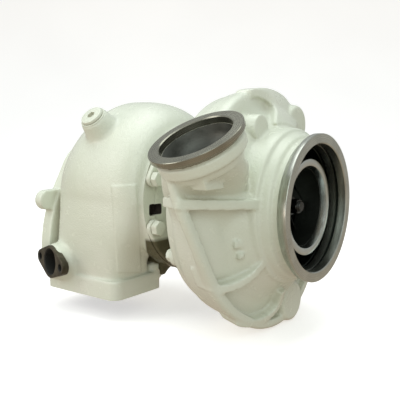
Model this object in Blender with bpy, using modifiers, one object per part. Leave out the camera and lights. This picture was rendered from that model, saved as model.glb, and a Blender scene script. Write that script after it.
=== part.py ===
"""Water-cooled twin-entry diesel turbocharger, as an assembly of its real pieces.

Dimensions below are millimetres on the shaft frame: X runs along the shaft
towards the compressor inlet, -Y is the front, +Z is up, and the shaft line is
y = z = 0. Every object's origin lies on that line, at SHAFT in the part frame,
whose own origin is the middle of the divider wall of the turbine inlet flange.
"""

import math

import bmesh
import bpy
from mathutils import Matrix, Vector

MM = 0.001
SHAFT = Vector((0.119, 0.062, 0.125))

# Compressor side
INLET_FACE_X = 172.3
INLET_LIP_R = 85.0
INLET_BORE_R = 73.5
NECK_BASE_X = 140.0
COVER_BACK_X = 50.3
COVER_BACK_R = 131.0
COVER_BORE_R = 97.5
DIFFUSER_WALL_X = 79.5
DIFFUSER_BACK_X = 72.0
SHROUD_FLOOR_X = 115.0
SHROUD_RING_FRONT_X = 157.7
SHROUD_RING_R = (46.0, 56.0)
DISCHARGE_C = Vector((112.0, -158.0, 82.3))
DISCHARGE_N = Vector((-0.09, -0.5, 0.861)).normalized()
DISCHARGE_LIP_R = 50.0
DISCHARGE_BORE_R = 38.5
COVER_BOLT_R = 117.0
COVER_BOLT_ANGLES = [-27.5 + 72.0 * k for k in range(5)]

# Turbine side
FLANGE_X = (-187.0, -51.0)
FLANGE_Y = (-109.0, -16.0)
FLANGE_Z = (-125.0, -101.0)
VOLUTE_X = -110.0
OUTLET_FACE_X = -203.0
OUTLET_BORE_R = 62.0
TURBINE_FACE_X = -14.0
TURBINE_FACE_R = 95.5
CLAMP_BOLT_R = 86.0
CLAMP_SPREAD = 20.5  # each bolt stands this far from the gap between two clamp plates
CLAMP_BOLT_ANGLES = [90.0 * k + s * CLAMP_SPREAD for k in range(4) for s in (-1, 1)]
WATER_C = Vector((-158.0, -124.0, -85.0))
WATER_N = Vector((-0.25, -0.967, 0.05)).normalized()
PLUG_C = Vector((-96.0, -97.0, 104.0))
PLUG_N = Vector((0.0, -0.717, 0.697)).normalized()

# Rotor and bearings
SHAFT_R = 8.0
STUB_R = 6.5
BEARING_R = (8.1, 12.0)
BEARING_BORE_R = 12.12
COMPRESSOR_BLADES = 7
TURBINE_BLADES = 11

# Sides of the large and of the small turned shapes
BIG = 28
SMALL = 24


for old in list(bpy.data.objects):
    bpy.data.objects.remove(old, do_unlink=True)

assembly = bpy.data.collections.new("turbocharger")
bpy.context.scene.collection.children.link(assembly)

axis_empty = bpy.data.objects.new("shaft_line", None)
axis_empty.location = SHAFT
assembly.objects.link(axis_empty)
rotor_empty = bpy.data.objects.new("rotor_line", None)
rotor_empty.parent = axis_empty
assembly.objects.link(rotor_empty)


# ---------------------------------------------------------------- materials

def finish(name, colour, roughness, metallic):
    mat = bpy.data.materials.new(name)
    mat.use_nodes = True
    bsdf = next(n for n in mat.node_tree.nodes if n.type == "BSDF_PRINCIPLED")
    bsdf.inputs["Base Color"].default_value = (*colour, 1.0)
    bsdf.inputs["Roughness"].default_value = roughness
    bsdf.inputs["Metallic"].default_value = metallic
    return mat


CREAM = ((0.74, 0.75, 0.64), 0.35, 0.0)
STEEL = ((0.42, 0.41, 0.40), 0.35, 1.0)
DARK_STEEL = ((0.16, 0.16, 0.16), 0.45, 1.0)
ALLOY = ((0.62, 0.63, 0.64), 0.35, 1.0)
NICKEL = ((0.32, 0.30, 0.28), 0.5, 1.0)
BRONZE = ((0.55, 0.38, 0.16), 0.4, 1.0)
RUBBER = ((0.02, 0.02, 0.02), 0.7, 0.0)


# ---------------------------------------------------------------- mesh tools

def tidy(mesh):
    bm = bmesh.new()
    bm.from_mesh(mesh)
    bmesh.ops.remove_doubles(bm, verts=bm.verts, dist=2e-6)
    bmesh.ops.dissolve_degenerate(bm, dist=1e-6, edges=bm.edges)
    bmesh.ops.recalc_face_normals(bm, faces=bm.faces)
    bm.to_mesh(mesh)
    bm.free()
    return mesh


def helper(name, mesh):
    ob = bpy.data.objects.new(name, mesh)
    assembly.objects.link(ob)
    return ob


def applied(ob):
    """The object with its modifiers worked into its mesh."""
    bpy.context.view_layer.update()
    graph = bpy.context.evaluated_depsgraph_get()
    mesh = bpy.data.meshes.new_from_object(ob.evaluated_get(graph))
    ob.modifiers.clear()
    ob.data = tidy(mesh)
    return ob


def turned(name, profile, steps=BIG):
    """A profile of (x, r) turned about the shaft line. It is a closed ring, or starts and ends on the line."""
    ring = min(r for _, r in profile) > 0.0
    verts = [(x * MM, 0.0, r * MM) for x, r in profile]
    edges = [(i, i + 1) for i in range(len(verts) - 1)]
    if ring:
        edges.append((len(verts) - 1, 0))
    mesh = bpy.data.meshes.new(name)
    mesh.from_pydata(verts, edges, [])
    ob = helper(name, mesh)
    screw = ob.modifiers.new("Turn", "SCREW")
    screw.axis = "X"
    screw.angle = 2 * math.pi
    screw.screw_offset = 0.0
    screw.steps = steps
    screw.render_steps = steps
    screw.use_merge_vertices = True
    screw.merge_threshold = 1e-6
    return applied(ob)


def loft(name, rings, closed=False):
    """A skin through rings of equal point count, with flat ends unless it closes on itself."""
    n = len(rings[0])
    verts = [Vector(p) * MM for ring in rings for p in ring]
    faces = []
    for i in range(len(rings) if closed else len(rings) - 1):
        a, b = i * n, ((i + 1) % len(rings)) * n
        faces += [(a + j, a + (j + 1) % n, b + (j + 1) % n, b + j) for j in range(n)]
    if not closed:
        faces += [tuple(range(n)), tuple(range((len(rings) - 1) * n, len(rings) * n))]
    mesh = bpy.data.meshes.new(name)
    mesh.from_pydata(verts, [], faces)
    return helper(name, tidy(mesh))


def frame_on(normal, side=Vector((1.0, 0.0, 0.0))):
    """Two unit vectors across a normal, the first as near to side as can be."""
    if abs(side.dot(normal)) > 0.95:
        side = Vector((0.0, 1.0, 0.0))
    u = (side - normal * side.dot(normal)).normalized()
    return u, normal.cross(u)


def rod(name, stations, side=Vector((1.0, 0.0, 0.0)), steps=40, normal=None):
    """A round bar through (centre, radius) stations."""
    rings = []
    for i, (c, r) in enumerate(stations):
        n = normal
        if n is None:
            a, b = stations[max(i - 1, 0)][0], stations[min(i + 1, len(stations) - 1)][0]
            n = (b - a).normalized()
        u, v = frame_on(n, side)
        rings.append([c + (u * math.cos(t) + v * math.sin(t)) * r
                      for t in (2 * math.pi * k / steps for k in range(steps))])
    return loft(name, rings)


def stepped(name, centre, normal, steps_r, sides=24):
    """A turned boss: (height along the normal, radius) pairs from its base up."""
    u, v = frame_on(normal)
    rings = [[centre + normal * h + (u * math.cos(t) + v * math.sin(t)) * r
              for t in (2 * math.pi * k / sides for k in range(sides))]
             for h, r in steps_r]
    return loft(name, rings)


def block(name, low, high, bevel=0.0, segments=2):
    bm = bmesh.new()
    bmesh.ops.create_cube(bm, size=1.0)
    low, high = Vector(low), Vector(high)
    for v in bm.verts:
        v.co = Vector(((v.co[i] + 0.5) * (high[i] - low[i]) + low[i]) * MM for i in range(3))
    if bevel:
        upright = [e for e in bm.edges if abs(e.verts[0].co.z - e.verts[1].co.z) > 1e-6]
        bmesh.ops.bevel(bm, geom=upright, offset=bevel * MM, segments=segments, profile=0.5, affect="EDGES")
    mesh = bpy.data.meshes.new(name)
    bm.to_mesh(mesh)
    bm.free()
    return helper(name, tidy(mesh))


def web(name, a, b, width, depth, across):
    """A straight rib with its crest from a to b, going down by the vector depth."""
    a, b, depth = Vector(a), Vector(b), Vector(depth)
    w = Vector(across).normalized() * width / 2
    ring_a = [a - w, a + w, a + w + depth, a - w + depth]
    ring_b = [b - w, b + w, b + w + depth, b - w + depth]
    return loft(name, [ring_a, ring_b])


def ridge(name, path, width, depth):
    """A curved rib with its crest on the path, going down by the vector depth."""
    path, depth = [Vector(p) for p in path], Vector(depth)
    rings = []
    for i, p in enumerate(path):
        along = path[min(i + 1, len(path) - 1)] - path[max(i - 1, 0)]
        w = along.cross(depth).normalized() * width / 2
        rings.append([p - w, p + w, p + w + depth, p - w + depth])
    return loft(name, rings)


def plate(name, outline, thickness, centre, u, v, n, holes=()):
    """A flat outline in the plane (u, v), with round holes, made thick along n."""
    curve = bpy.data.curves.new(name, "CURVE")
    curve.dimensions = "2D"
    curve.fill_mode = "BOTH"
    curve.extrude = thickness * MM / 2
    loops = [outline] + [
        [(hx + r * math.cos(2 * math.pi * k / 12), hy + r * math.sin(2 * math.pi * k / 12)) for k in range(12)]
        for hx, hy, r in holes
    ]
    for loop in loops:
        spline = curve.splines.new("POLY")
        spline.points.add(len(loop) - 1)
        for point, (x, y) in zip(spline.points, loop):
            point.co = (x * MM, y * MM, 0.0, 1.0)
        spline.use_cyclic_u = True
    flat = helper(name + "_outline", curve)
    bpy.context.view_layer.update()
    graph = bpy.context.evaluated_depsgraph_get()
    mesh = bpy.data.meshes.new_from_object(flat.evaluated_get(graph))
    bpy.data.objects.remove(flat, do_unlink=True)
    turn = Matrix((u, v, n)).transposed().to_4x4()
    turn.translation = Vector(centre) * MM
    mesh.transform(turn)
    return helper(name, tidy(mesh))


def combine(target, tools, operation):
    for tool in tools:
        mod = target.modifiers.new("Shape", "BOOLEAN")
        mod.operation = operation
        mod.solver = "EXACT"
        mod.object = tool
        applied(target)
        bpy.data.objects.remove(tool, do_unlink=True)
    return target


def joined(target, *tools):
    return combine(target, tools, "UNION")


def cut(target, *tools):
    return combine(target, tools, "DIFFERENCE")


def merged(name, objects):
    """Separate closed bodies in one mesh, for use as one cutter or one set of blades."""
    bm = bmesh.new()
    for ob in objects:
        bm.from_mesh(ob.data)
        bpy.data.objects.remove(ob, do_unlink=True)
    mesh = bpy.data.meshes.new(name)
    bm.to_mesh(mesh)
    bm.free()
    return helper(name, mesh)


def place(ob, name, look, parent=axis_empty):
    ob.name = name
    ob.data.name = name
    ob.parent = parent
    ob.data.materials.clear()
    ob.data.materials.append(finish(name + "_finish", *look))
    ob.data.shade_smooth()
    ob.data.set_sharp_from_angle(angle=math.radians(32))
    return ob


def polar(r, degrees, x=0.0):
    """A point at an angle above the front horizontal, seen along the shaft."""
    t = math.radians(degrees)
    return Vector((x, -r * math.cos(t), r * math.sin(t)))


def between(table, at):
    """A value read between rows (key, value...), eased so that the curve is smooth."""
    rows = sorted(table)
    if at <= rows[0][0]:
        return rows[0][1:]
    for (a, *va), (b, *vb) in zip(rows, rows[1:]):
        if at <= b:
            t = (at - a) / (b - a)
            return tuple(p + (q - p) * t for p, q in zip(va, vb))
    return rows[-1][1:]


# ---------------------------------------------------------------- turbine housing

def arch(xc, left, right, rc, outer, inner, power, power_right=None, points=20):
    """A closed section in (x, r): a rounded box with its own half-size and squareness on each side."""
    ring = []
    for k in range(points):
        t = 2 * math.pi * (k + 0.5) / points
        c, s = math.cos(t), math.sin(t)
        p = (power_right or power) if c > 0 else power
        x = xc + math.copysign(abs(c) ** (2 / p), c) * (right if c > 0 else left)
        r = rc + math.copysign(abs(s) ** (2 / p), s) * (outer if s > 0 else inner)
        ring.append((x, r))
    return ring


def wrapped(section, degrees):
    t = math.radians(degrees)
    return [(x, -r * math.cos(t), r * math.sin(t)) for x, r in section]


def level(section, z):
    return [(x, -r, z) for x, r in section]


# angle: outer radius, left and right half-widths, middle radius, squareness on the left and on the right
VOLUTE = [
    (0, 114, 73, 95, 75, 1.5, 4.2),
    (45, 124, 73, 95, 75, 1.35, 3.4),
    (90, 129, 75, 94, 75, 1.5, 2.6),
    (135, 126, 75, 92, 74, 1.8, 2.3),
    (180, 116, 70, 90, 70, 2.0, 2.3),
    (225, 106, 64, 88, 64, 2.2, 2.3),
    (270, 96, 58, 86, 58, 2.2, 2.3),
]


def volute_section(degrees):
    outer, left, right, rc, power_l, power_r = between(VOLUTE, degrees)
    return arch(VOLUTE_X, left, right, rc, outer - rc, rc - 18.0, power_l, power_r)


DUCT = [
    # z, middle x, left, right, middle r, outer, inner, squareness on the left and on the right
    (-108, -119, 63, 63, 62.5, 43, 43, 6.0, 6.0),
    (-96, -118, 63, 63, 63, 43, 44, 4.0, 5.0),
    (-70, -116, 66, 71, 66, 45, 47, 2.8, 4.6),
    (-35, -112, 71, 86, 71, 43, 52, 2.2, 4.4),
]
duct = [level(arch(*row[1:]), row[0]) for row in DUCT]
volute = loft("volute", duct + [wrapped(volute_section(a), a) for a in (0, 20, 40, 60, 80, 100, 125, 150, 175, 200, 225, 250, 270)])
core = turned("turbine_core", [
    (OUTLET_FACE_X, 40), (OUTLET_FACE_X, 75), (-200, 77.4), (-186, 77.4), (-170, 74), (-60, 84),
    (-38, 93), (-34, TURBINE_FACE_R), (TURBINE_FACE_X - 2, TURBINE_FACE_R), (TURBINE_FACE_X, 94), (TURBINE_FACE_X, 40),
])

u_x, u_y, u_z = Vector((1, 0, 0)), Vector((0, 1, 0)), Vector((0, 0, 1))


def rounded(x0, x1, y0, y1, r, steps=4):
    corners = [(x1 - r, y1 - r, 0), (x0 + r, y1 - r, 90), (x0 + r, y0 + r, 180), (x1 - r, y0 + r, 270)]
    return [(cx + r * math.cos(math.radians(a + 90 * k / steps)), cy + r * math.sin(math.radians(a + 90 * k / steps)))
            for cx, cy, a in corners for k in range(steps + 1)]


inlet_flange = plate("inlet_flange", rounded(*FLANGE_X, *FLANGE_Y, 14), FLANGE_Z[1] - FLANGE_Z[0],
                     (0, 0, sum(FLANGE_Z) / 2), u_x, u_y, u_z)

# The outlet end is an arched rim that runs down into the inlet duct on the front.
rim = [tuple(polar(79.0, a)[1:]) for a in range(-180, -239, -15)] + [tuple(polar(79.0, a)[1:]) for a in range(105, 44, -15)]
rim += [(-66, 33), (-80, 6), (-95, -26), (-102, -60), (-103, -98), (-22, -98), (20, -78), (58, -54)]
end_rim = plate("end_rim", rim, 17.0, (-194.2, 0, 0), u_y, u_z, u_x)

tab = plate("tab", [(-60, -20), (-60, 8)] + [
    (-99 + 13.5 * math.cos(math.radians(a)), -6.5 + 13.5 * math.sin(math.radians(a))) for a in range(90, 271, 20)
], 13.0, (-195.0, 0, 0), u_y, u_z, u_x)

plug_boss = stepped("plug_boss", PLUG_C, PLUG_N, [(-50, 36), (-24, 31), (-14, 24.5), (-8, 21.5), (-3, 20.5), (0, 19.2)])

wu, wv = frame_on(WATER_N, Vector((0.967, -0.25, -0.085)))
water_neck = stepped("water_neck", WATER_C, WATER_N, [(-46, 33), (-17, 27), (-9, 24), (-4, 23.5)])


def diamond(half, end_r, mid_r, steps=4):
    """A two-bolt flange: two small round ends and a round middle, joined by their tangents."""
    lean = math.degrees(math.asin((mid_r - end_r) / half))
    out = []
    for cx, r, a0, a1 in ((half, end_r, -90 + lean, 90 - lean), (0, mid_r, 90 - lean, 90 + lean),
                          (-half, end_r, 90 + lean, 270 - lean), (0, mid_r, 270 - lean, 270 + lean)):
        out += [(cx + r * math.cos(math.radians(a0 + (a1 - a0) * k / steps)),
                 r * math.sin(math.radians(a0 + (a1 - a0) * k / steps))) for k in range(steps + 1)]
    return out


water_flange = plate("water_flange", diamond(31.0, 9.5, 22.0), 9.0, WATER_C - WATER_N * 4.5, wu, wv, WATER_N)
corner_boss = stepped("corner_boss", Vector((-61.4, -26.4, -107)), u_z, [(0, 11.8), (10.6, 11.4), (12, 10.2)], sides=20)

turbine = joined(volute, inlet_flange, corner_boss, core, end_rim, tab, plug_boss, water_neck, water_flange)

gas_bore = turned("gas_bore", [
    (OUTLET_FACE_X - 3, 0), (OUTLET_FACE_X - 3, OUTLET_BORE_R), (-190, 61), (-112, 47.6), (-83.5, 47.6), (-76, 51.2),
    (-72, 54.5), (-72, 70), (-50, 70), (-50, 57), (-29, 57), (-29, 60.3), (-26, 60.3), (-26, 75.3),
    (TURBINE_FACE_X + 3, 75.3), (TURBINE_FACE_X + 3, 0),
])
ports = []
for low, high in ((-167, -124), (-114, -71)):
    drift = 6 if low < -119 else -2
    ports.append(loft("port", [
        level(arch((low + high) / 2, (high - low) / 2, (high - low) / 2, 63, 29, 29, 6, None, 16), -131),
        level(arch((low + high) / 2, (high - low) / 2, (high - low) / 2, 63, 29, 29, 6, None, 16), -90),
        level(arch((low + high) / 2 + drift, 21, 21, 68, 27, 27, 4, None, 16), -22),
    ]))
GAS = [
    (-30, -106, 50, 70, 27), (0, -101, 48, 76, 27), (45, -94, 42, 80, 29), (90, -90, 36, 80, 29),
    (135, -87, 32, 77, 26), (180, -83, 27, 74, 23), (225, -79, 23, 71, 19), (270, -76, 18, 68, 15),
]


def gas_section(degrees):
    xc, half, rc, tall = between(GAS, degrees)
    return arch(xc, half, half, rc, tall, tall, 2.6, None, 14)


volute_gas = loft("volute_gas", [level(gas_section(-30), -34)] + [wrapped(gas_section(a), a) for a in range(0, 271, 27)])
water_bore = rod("water_bore", [(WATER_C + WATER_N * 4, 17.0), (WATER_C - WATER_N * 34, 17.0)], steps=24)
water_holes = merged("water_holes", [
    rod("hole", [(WATER_C + wu * s * 31 + WATER_N * 4, 4.5), (WATER_C + wu * s * 31 - WATER_N * 20, 4.5)], steps=10)
    for s in (-1, 1)
])
plug_hole = rod("plug_hole", [(PLUG_C + PLUG_N * 4, 12.4), (PLUG_C - PLUG_N * 16, 12.4)], steps=24)
clamp_holes = merged("clamp_holes", [
    rod("hole", [(polar(CLAMP_BOLT_R, a, TURBINE_FACE_X + 4), 5.2), (polar(CLAMP_BOLT_R, a, -36), 5.2)], u_y, steps=10)
    for a in CLAMP_BOLT_ANGLES
])
flange_holes = merged("flange_holes", [
    rod("hole", [(Vector((x, y, -131)), 6.0), (Vector((x, y, -90)), 6.0)], steps=10)
    for x in (FLANGE_X[0] + 12, FLANGE_X[1] - 13) for y in (FLANGE_Y[0] + 11, FLANGE_Y[1] - 13)
])
locating_slot = block("locating_slot", (-27, -87, -11), (TURBINE_FACE_X + 3, -66, 1))
turbine = cut(turbine, gas_bore, locating_slot, *ports, volute_gas, water_bore, water_holes, plug_hole, clamp_holes)
cut(turbine, flange_holes)
place(turbine, "turbine_housing", CREAM)

washer = stepped("washer", PLUG_C + PLUG_N * 0.3, PLUG_N, [(0, 18), (1.8, 18)])
cut(washer, rod("hole", [(PLUG_C - PLUG_N * 3, 12.6), (PLUG_C + PLUG_N * 6, 12.6)], steps=24))
place(washer, "plug_washer", CREAM)
plug = joined(
    stepped("plug", PLUG_C, PLUG_N, [(2.4, 15.6), (5.2, 15.6), (6.2, 14.4)]),
    rod("thread", [(PLUG_C - PLUG_N * 13, 11.6), (PLUG_C + PLUG_N * 3.5, 11.6)], steps=24),
)
cut(plug, stepped("socket", PLUG_C, PLUG_N, [(-2, 5.8), (9, 5.8)], sides=6))
place(plug, "turbine_housing_plug", CREAM)

# ---------------------------------------------------------------- centre housing

bearing = turned("bearing_housing", [
    (-38, 6), (-38, 40), (-25.7, 44), (-25.7, 75), (-13.7, 75), (-13.7, 52), (6, 49), (26, 76), (28, 82), (40, 82), (40, 6),
])
joined(
    bearing,
    block("drain_neck", (9, -23, -84), (35, 23, -30), 8),
    block("drain_pad", (8.5, -31, -88), (37.5, 31, -76), 9),
    block("oil_pad", (9, -21, 30), (37, 21, 62), 7),
)
bearing_bore = turned("bearing_bore", [
    (43, 0), (43, 34.3), (34.3, 34.3), (34.3, 22), (31.4, 22), (31.4, BEARING_BORE_R), (29.8, BEARING_BORE_R), (29.8, 13.4),
    (28.2, 13.4), (28.2, BEARING_BORE_R), (-10.4, BEARING_BORE_R), (-10.4, 13.4), (-12, 13.4), (-12, BEARING_BORE_R),
    (-13.5, BEARING_BORE_R), (-13.5, 22), (-26, 22), (-26, 15.4), (-41, 15.4), (-41, 0),
], SMALL)
cut(
    bearing,
    bearing_bore,
    block("drain_slot", (13, -14, -95), (31, 14, -28), 5),
    block("drain_chamber", (-22, -10, -31), (33, 10, -17.5)),
    rod("oil_feed", [(Vector((22, 0, 70)), 6.0), (Vector((22, 0, 36)), 6.0)], steps=16),
    rod("oil_gallery", [(Vector((9, 0, 44)), 3.0), (Vector((9, 0, 8)), 3.0)], steps=12),
    rod("oil_cross", [(Vector((6.5, 0, 40)), 3.0), (Vector((24, 0, 40)), 3.0)], u_y, steps=12),
    block("locating_notch", (-30, -80, -9.5), (-8, -66, -0.5)),
    merged("pad_holes", [rod("hole", [(Vector((23, s * 14.5, 66)), 3.6), (Vector((23, s * 14.5, 46)), 3.6)], steps=12) for s in (-1, 1)]),
    merged("drain_holes", [rod("hole", [(Vector((23, s * 23.5, -92)), 3.6), (Vector((23, s * 23.5, -74)), 3.6)], steps=12) for s in (-1, 1)]),
)
place(bearing, "bearing_housing", CREAM)

place(turned("shield", [
    (-26.3, 60), (-27.8, 60), (-27.8, 52.6), (-42, 47.2), (-42, 17), (-40.5, 17), (-40.5, 46.2), (-26.3, 51.6),
]), "heat_shield", NICKEL)
place(turned("ring", [(-32.3, 12.9), (-33.7, 12.9), (-33.7, 15.25), (-32.3, 15.25)], SMALL), "turbine_piston_ring", DARK_STEEL)
place(turned("ring", [(-10.6, 9.8), (-11.8, 9.8), (-11.8, 13.2), (-10.6, 13.2)], SMALL), "bearing_retainer_turbine", DARK_STEEL)
place(turned("ring", [(29.6, 9.8), (28.4, 9.8), (28.4, 13.2), (29.6, 13.2)], SMALL), "bearing_retainer_compressor", DARK_STEEL)
place(turned("sleeve", [(13.2, 9.2), (4.4, 9.2), (4.4, 11.8), (13.2, 11.8)], SMALL), "bearing_spacer", STEEL)

thrust = turned("thrust", [(38.1, 11.4), (34.6, 11.4), (34.6, 34), (38.1, 34)], SMALL)
cut(thrust, block("oil_relief", (30, -12, -40), (42, 12, -24)))
place(thrust, "thrust_bearing", BRONZE)

baffle = turned("baffle", [(43.5, 14.2), (42, 14.2), (42, 35.8), (43.5, 35.8)], SMALL)
cut(baffle, block("notch", (38, -9, -40), (48, 9, -27)))
place(baffle, "oil_baffle", STEEL)

place(turned("seal_plate", [
    (62, 13.55), (44.5, 13.55), (44.5, 36), (50, 36), (50, 33.5), (53, 33.5), (53, 36), (62, 36),
], SMALL), "oil_seal_plate", STEEL)
place(turned("ring", [(54.7, 11.35), (53.3, 11.35), (53.3, 13.4), (54.7, 13.4)], SMALL), "compressor_piston_ring", DARK_STEEL)


def o_ring(name, x, major, minor, steps):
    return place(turned(name, [
        (x + minor * math.cos(2 * math.pi * k / 6), major + minor * math.sin(2 * math.pi * k / 6)) for k in range(6)
    ], steps), name, RUBBER)


o_ring("seal_plate_o_ring", 51.5, 34.85, 1.15, SMALL)
snap = turned("snap", [(64.2, 31), (62.5, 31), (62.5, 37.8), (64.2, 37.8)], SMALL)
cut(snap, block("gap", (60, -5, 25), (68, 5, 42)))
place(snap, "seal_plate_retaining_ring", DARK_STEEL)

back = turned("backplate", [
    (40.3, 30), (40.3, 110), (44, 116), (50, 118), (50, 97), (55, 97), (55, 94.2), (58, 94.2), (58, 97),
    (DIFFUSER_BACK_X, 97), (DIFFUSER_BACK_X, 58.5), (66.5, 58.5), (66.5, 30),
])
joined(back, *[stepped("ear", polar(COVER_BOLT_R, a, 50.0), Vector((-1, 0, 0)), [(0.0, 11.5), (15.7, 11.0)], sides=16) for a in COVER_BOLT_ANGLES])
cut(back, turned("backplate_bore", [(69, 0), (69, 36.3), (64.5, 36.3), (64.5, 38.2), (62.2, 38.2), (62.2, 36.3), (37, 36.3), (37, 0)], SMALL))
cut(back, merged("bolt_holes", [
    rod("hole", [(polar(COVER_BOLT_R, a, 30), 5.4), (polar(COVER_BOLT_R, a, 54), 5.4)], u_y, steps=10) for a in COVER_BOLT_ANGLES
]))
place(back, "compressor_backplate", CREAM)
o_ring("backplate_o_ring", 56.5, 95.65, 1.25, BIG)

# ---------------------------------------------------------------- compressor cover

# angle above the front horizontal: rim radius, rim x
RIM = [
    (-180, 146, 103), (-150, 148, 106), (-120, 151, 110), (-100, 152, 112), (-80, 149.5, 111.5), (-60, 147, 111), (-40, 147, 110.5),
    (-20, 148, 109.5), (0, 147, 107), (20, 143, 102), (45, 138, 96), (70, 138.5, 92), (90, 139.5, 92), (120, 141, 96), (150, 144, 100), (180, 146, 103),
]


def cover_section(degrees):
    r, x = between(RIM, degrees)
    return [
        (COVER_BACK_X, 62), (COVER_BACK_X, 128), (COVER_BACK_X + 3, COVER_BACK_R), (70, COVER_BACK_R + 0.42 * (r - COVER_BACK_R)),
        (x - 9, r - 2.5), (x - 4, r), (x + 4, r), (x + 5, r - 2), (x + 5, r - 9), (x - 1, r - 12), (x + 3, r - 26),
        (x + 11, 108), (x + 19, 97), (x + 26, 91), (x + 28, 62),
    ]


cover = loft("cover", [wrapped(cover_section(a), a) for a in range(-180, 180, 10)], closed=True)
neck = turned("neck", [
    (INLET_FACE_X, 62), (INLET_FACE_X, INLET_LIP_R - 0.6), (INLET_FACE_X - 0.6, INLET_LIP_R), (165.3, INLET_LIP_R), (161.5, 79), (157, 78), (151, 79.6), (149, 84),
    (139.5, 86), (137, 90), (128, 93), (112, 95), (100, 95), (100, 62),
])

# The discharge pipe is flat where it lies on the scroll and grows round towards its lip.
PIPE = [
    # z, middle x, middle y, half along the flat, half through it, lean of the flat in degrees
    (-84, 97, -82, 30, 17, 21), (-45, 94.9, -98, 41, 24, 21.5), (-10, 92.3, -109, 49, 26, 21.5), (12, 91, -120, 52, 28.5, 20.7),
    (32, 99.5, -129, 50, 35, 12), (46, 107, -137, 49.5, 40.5, 4), (58, 111.5, -144.5, 50, 43.4, 0),
]


def pipe_section(z):
    xc, yc, along, through, lean = between(PIPE, z)
    tx, ty = math.sin(math.radians(lean)), math.cos(math.radians(lean))
    ring = []
    for k in range(24):
        t = 2 * math.pi * (k + 0.5) / 24
        c, s = (math.copysign(abs(f(t)) ** 0.86, f(t)) for f in (math.cos, math.sin))
        ring.append((xc + along * c * tx + through * s * ty, yc + along * c * ty - through * s * tx, z))
    return ring


pipe_outer = loft("pipe_outer", [pipe_section(z) for z in (-84, -45, -10, 12, 24, 36, 47, 58)])
pipe_top = stepped("pipe_top", DISCHARGE_C, DISCHARGE_N, [(-48, 41), (-30, 43.4), (-12, 43.6)], sides=28)
collar = stepped("collar", DISCHARGE_C, DISCHARGE_N, [
    (-34, 40), (-24.5, 45.4), (-22, 46.2), (-13, 46.4), (-11, 43.8), (-8, 43.8), (-5.8, DISCHARGE_LIP_R), (-0.6, DISCHARGE_LIP_R), (0, DISCHARGE_LIP_R - 0.6),
], sides=28)
# The rim runs straight on up the discharge pipe as a raised bead.
bead_line = [Vector(p) for p in ((98.5, -182, 42), (104, -175.5, 12), (108, -164.3, -15), (110.5, -149.4, -44.5), (111.5, -131.7, -74))]
inward = Vector((0, 0.9, 0.43))
rim_bead = loft("rim_bead", [
    [p - u_x * 4.5, p + u_x * 4.5, p + u_x * 4.5 + inward * 10, p - u_x * 4 + inward * 15, p - u_x * 34 + inward * 16] for p in bead_line
])


def hook(degrees):
    """The crest of a rib that leaves the rim at an angle and curls in to the neck."""
    x = between(RIM, degrees)[1]
    return [polar(r, degrees - turn, x + up) for r, turn, up in (
        (147, -2, 2.5), (136, 3.5, 8), (122, 6.5, 14), (107, 8.5, 21), (94, 7.5, 27))]


ribs = [
    # the front rib stands level, with a lug beyond the bead
    ridge("rib", [(98, -176, 17), (108, -177, 17), (120, -152, 15), (131, -121, 12.5), (143, -84, 10.3)], 10.5, (-26, 9, 0)),
    ridge("lug", [(64, -147, 14), (86, -166, 15.5), (104, -177, 17)], 8.5, (10, 26, 0)),
    ridge("rib", [(115.2, -123.6, -75.4), (120, -112, -78.1), (126.1, -96.5, -75.9), (133, -81.5, -69.4), (139.5, -72, -57)], 9.5, (-24, 4, 2)),
    ridge("rib", [(114.6, -73.6, -126.6), (117.4, -47.7, -134.2), (120.7, -22.5, -132.9), (126.2, -8.8, -122.1), (133, -12, -106)], 9.5, (-22, 0, 6)),
    ridge("rib", hook(-135), 9.5, (-24, 0, 0)),
    ridge("rib", hook(-178), 9.5, (-24, 0, 0)),
    ridge("rib", hook(150), 9.5, (-24, 0, 0)),
    ridge("rib", [(97, -32, 130), (100, -21.5, 131.8), (103.4, -2.5, 127.2), (107.4, 6.6, 119.7), (112.8, 4.5, 110), (121, -10, 95)], 9.5, (-20, 0, 0)),
    # two lobes on the rim, a blind boss above the neck, two plain pads
    stepped("lobe", polar(112.0, 121.0, 112.0), u_x, [(-26, 25), (-3, 24), (0, 21)], sides=20),
    stepped("lobe", polar(132.0, -106.0, 121.0), u_x, [(-30, 26), (-3, 25.5), (0, 22)], sides=20),
    stepped("boss", Vector((120, -45.4, 90.5)), u_x, [(-40, 15.6), (-1, 15.0), (0, 14.0)], sides=20),
    web("pad", (123.5, -172, 40), (123.5, -168, 26), 15, (-8, 24, 0), (0.93, 0.35, 0)),
    web("pad", (62, -98, -80), (86, -106, -84), 20, (0, 26, 22), (0.1, -0.6, 0.75)),
]
joined(cover, neck, pipe_outer, pipe_top, collar, rim_bead, *ribs)

wheel_bore = turned("wheel_bore", [
    (INLET_FACE_X + 3, 0), (INLET_FACE_X + 3, INLET_BORE_R), (166, INLET_BORE_R), (165, 75.3), (151, 75.3), (149, INLET_BORE_R),
    (SHROUD_FLOOR_X, INLET_BORE_R), (SHROUD_FLOOR_X, 45.7), (104, 45.9), (94, 48.3), (86, 52.3), (81, 57.6), (DIFFUSER_WALL_X, 60.5),
    (DIFFUSER_WALL_X, 99.5), (DIFFUSER_BACK_X + 0.3, 99.5), (DIFFUSER_BACK_X + 0.3, COVER_BORE_R), (COVER_BACK_X - 3, COVER_BORE_R), (COVER_BACK_X - 3, 0),
])


def scroll_section(degrees):
    """The air channel: it starts at its tongue at 50 degrees and grows round the back and below to the pipe."""
    t = (degrees - 50.0) / 295.0
    half_x, half_r = 9.0 + 9.0 * t, 8.5 + 10.0 * t
    return arch(DIFFUSER_BACK_X + 0.8 + half_x, half_x, half_x, 94.5 + half_r, half_r, half_r, 2.6, None, 12)


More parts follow.
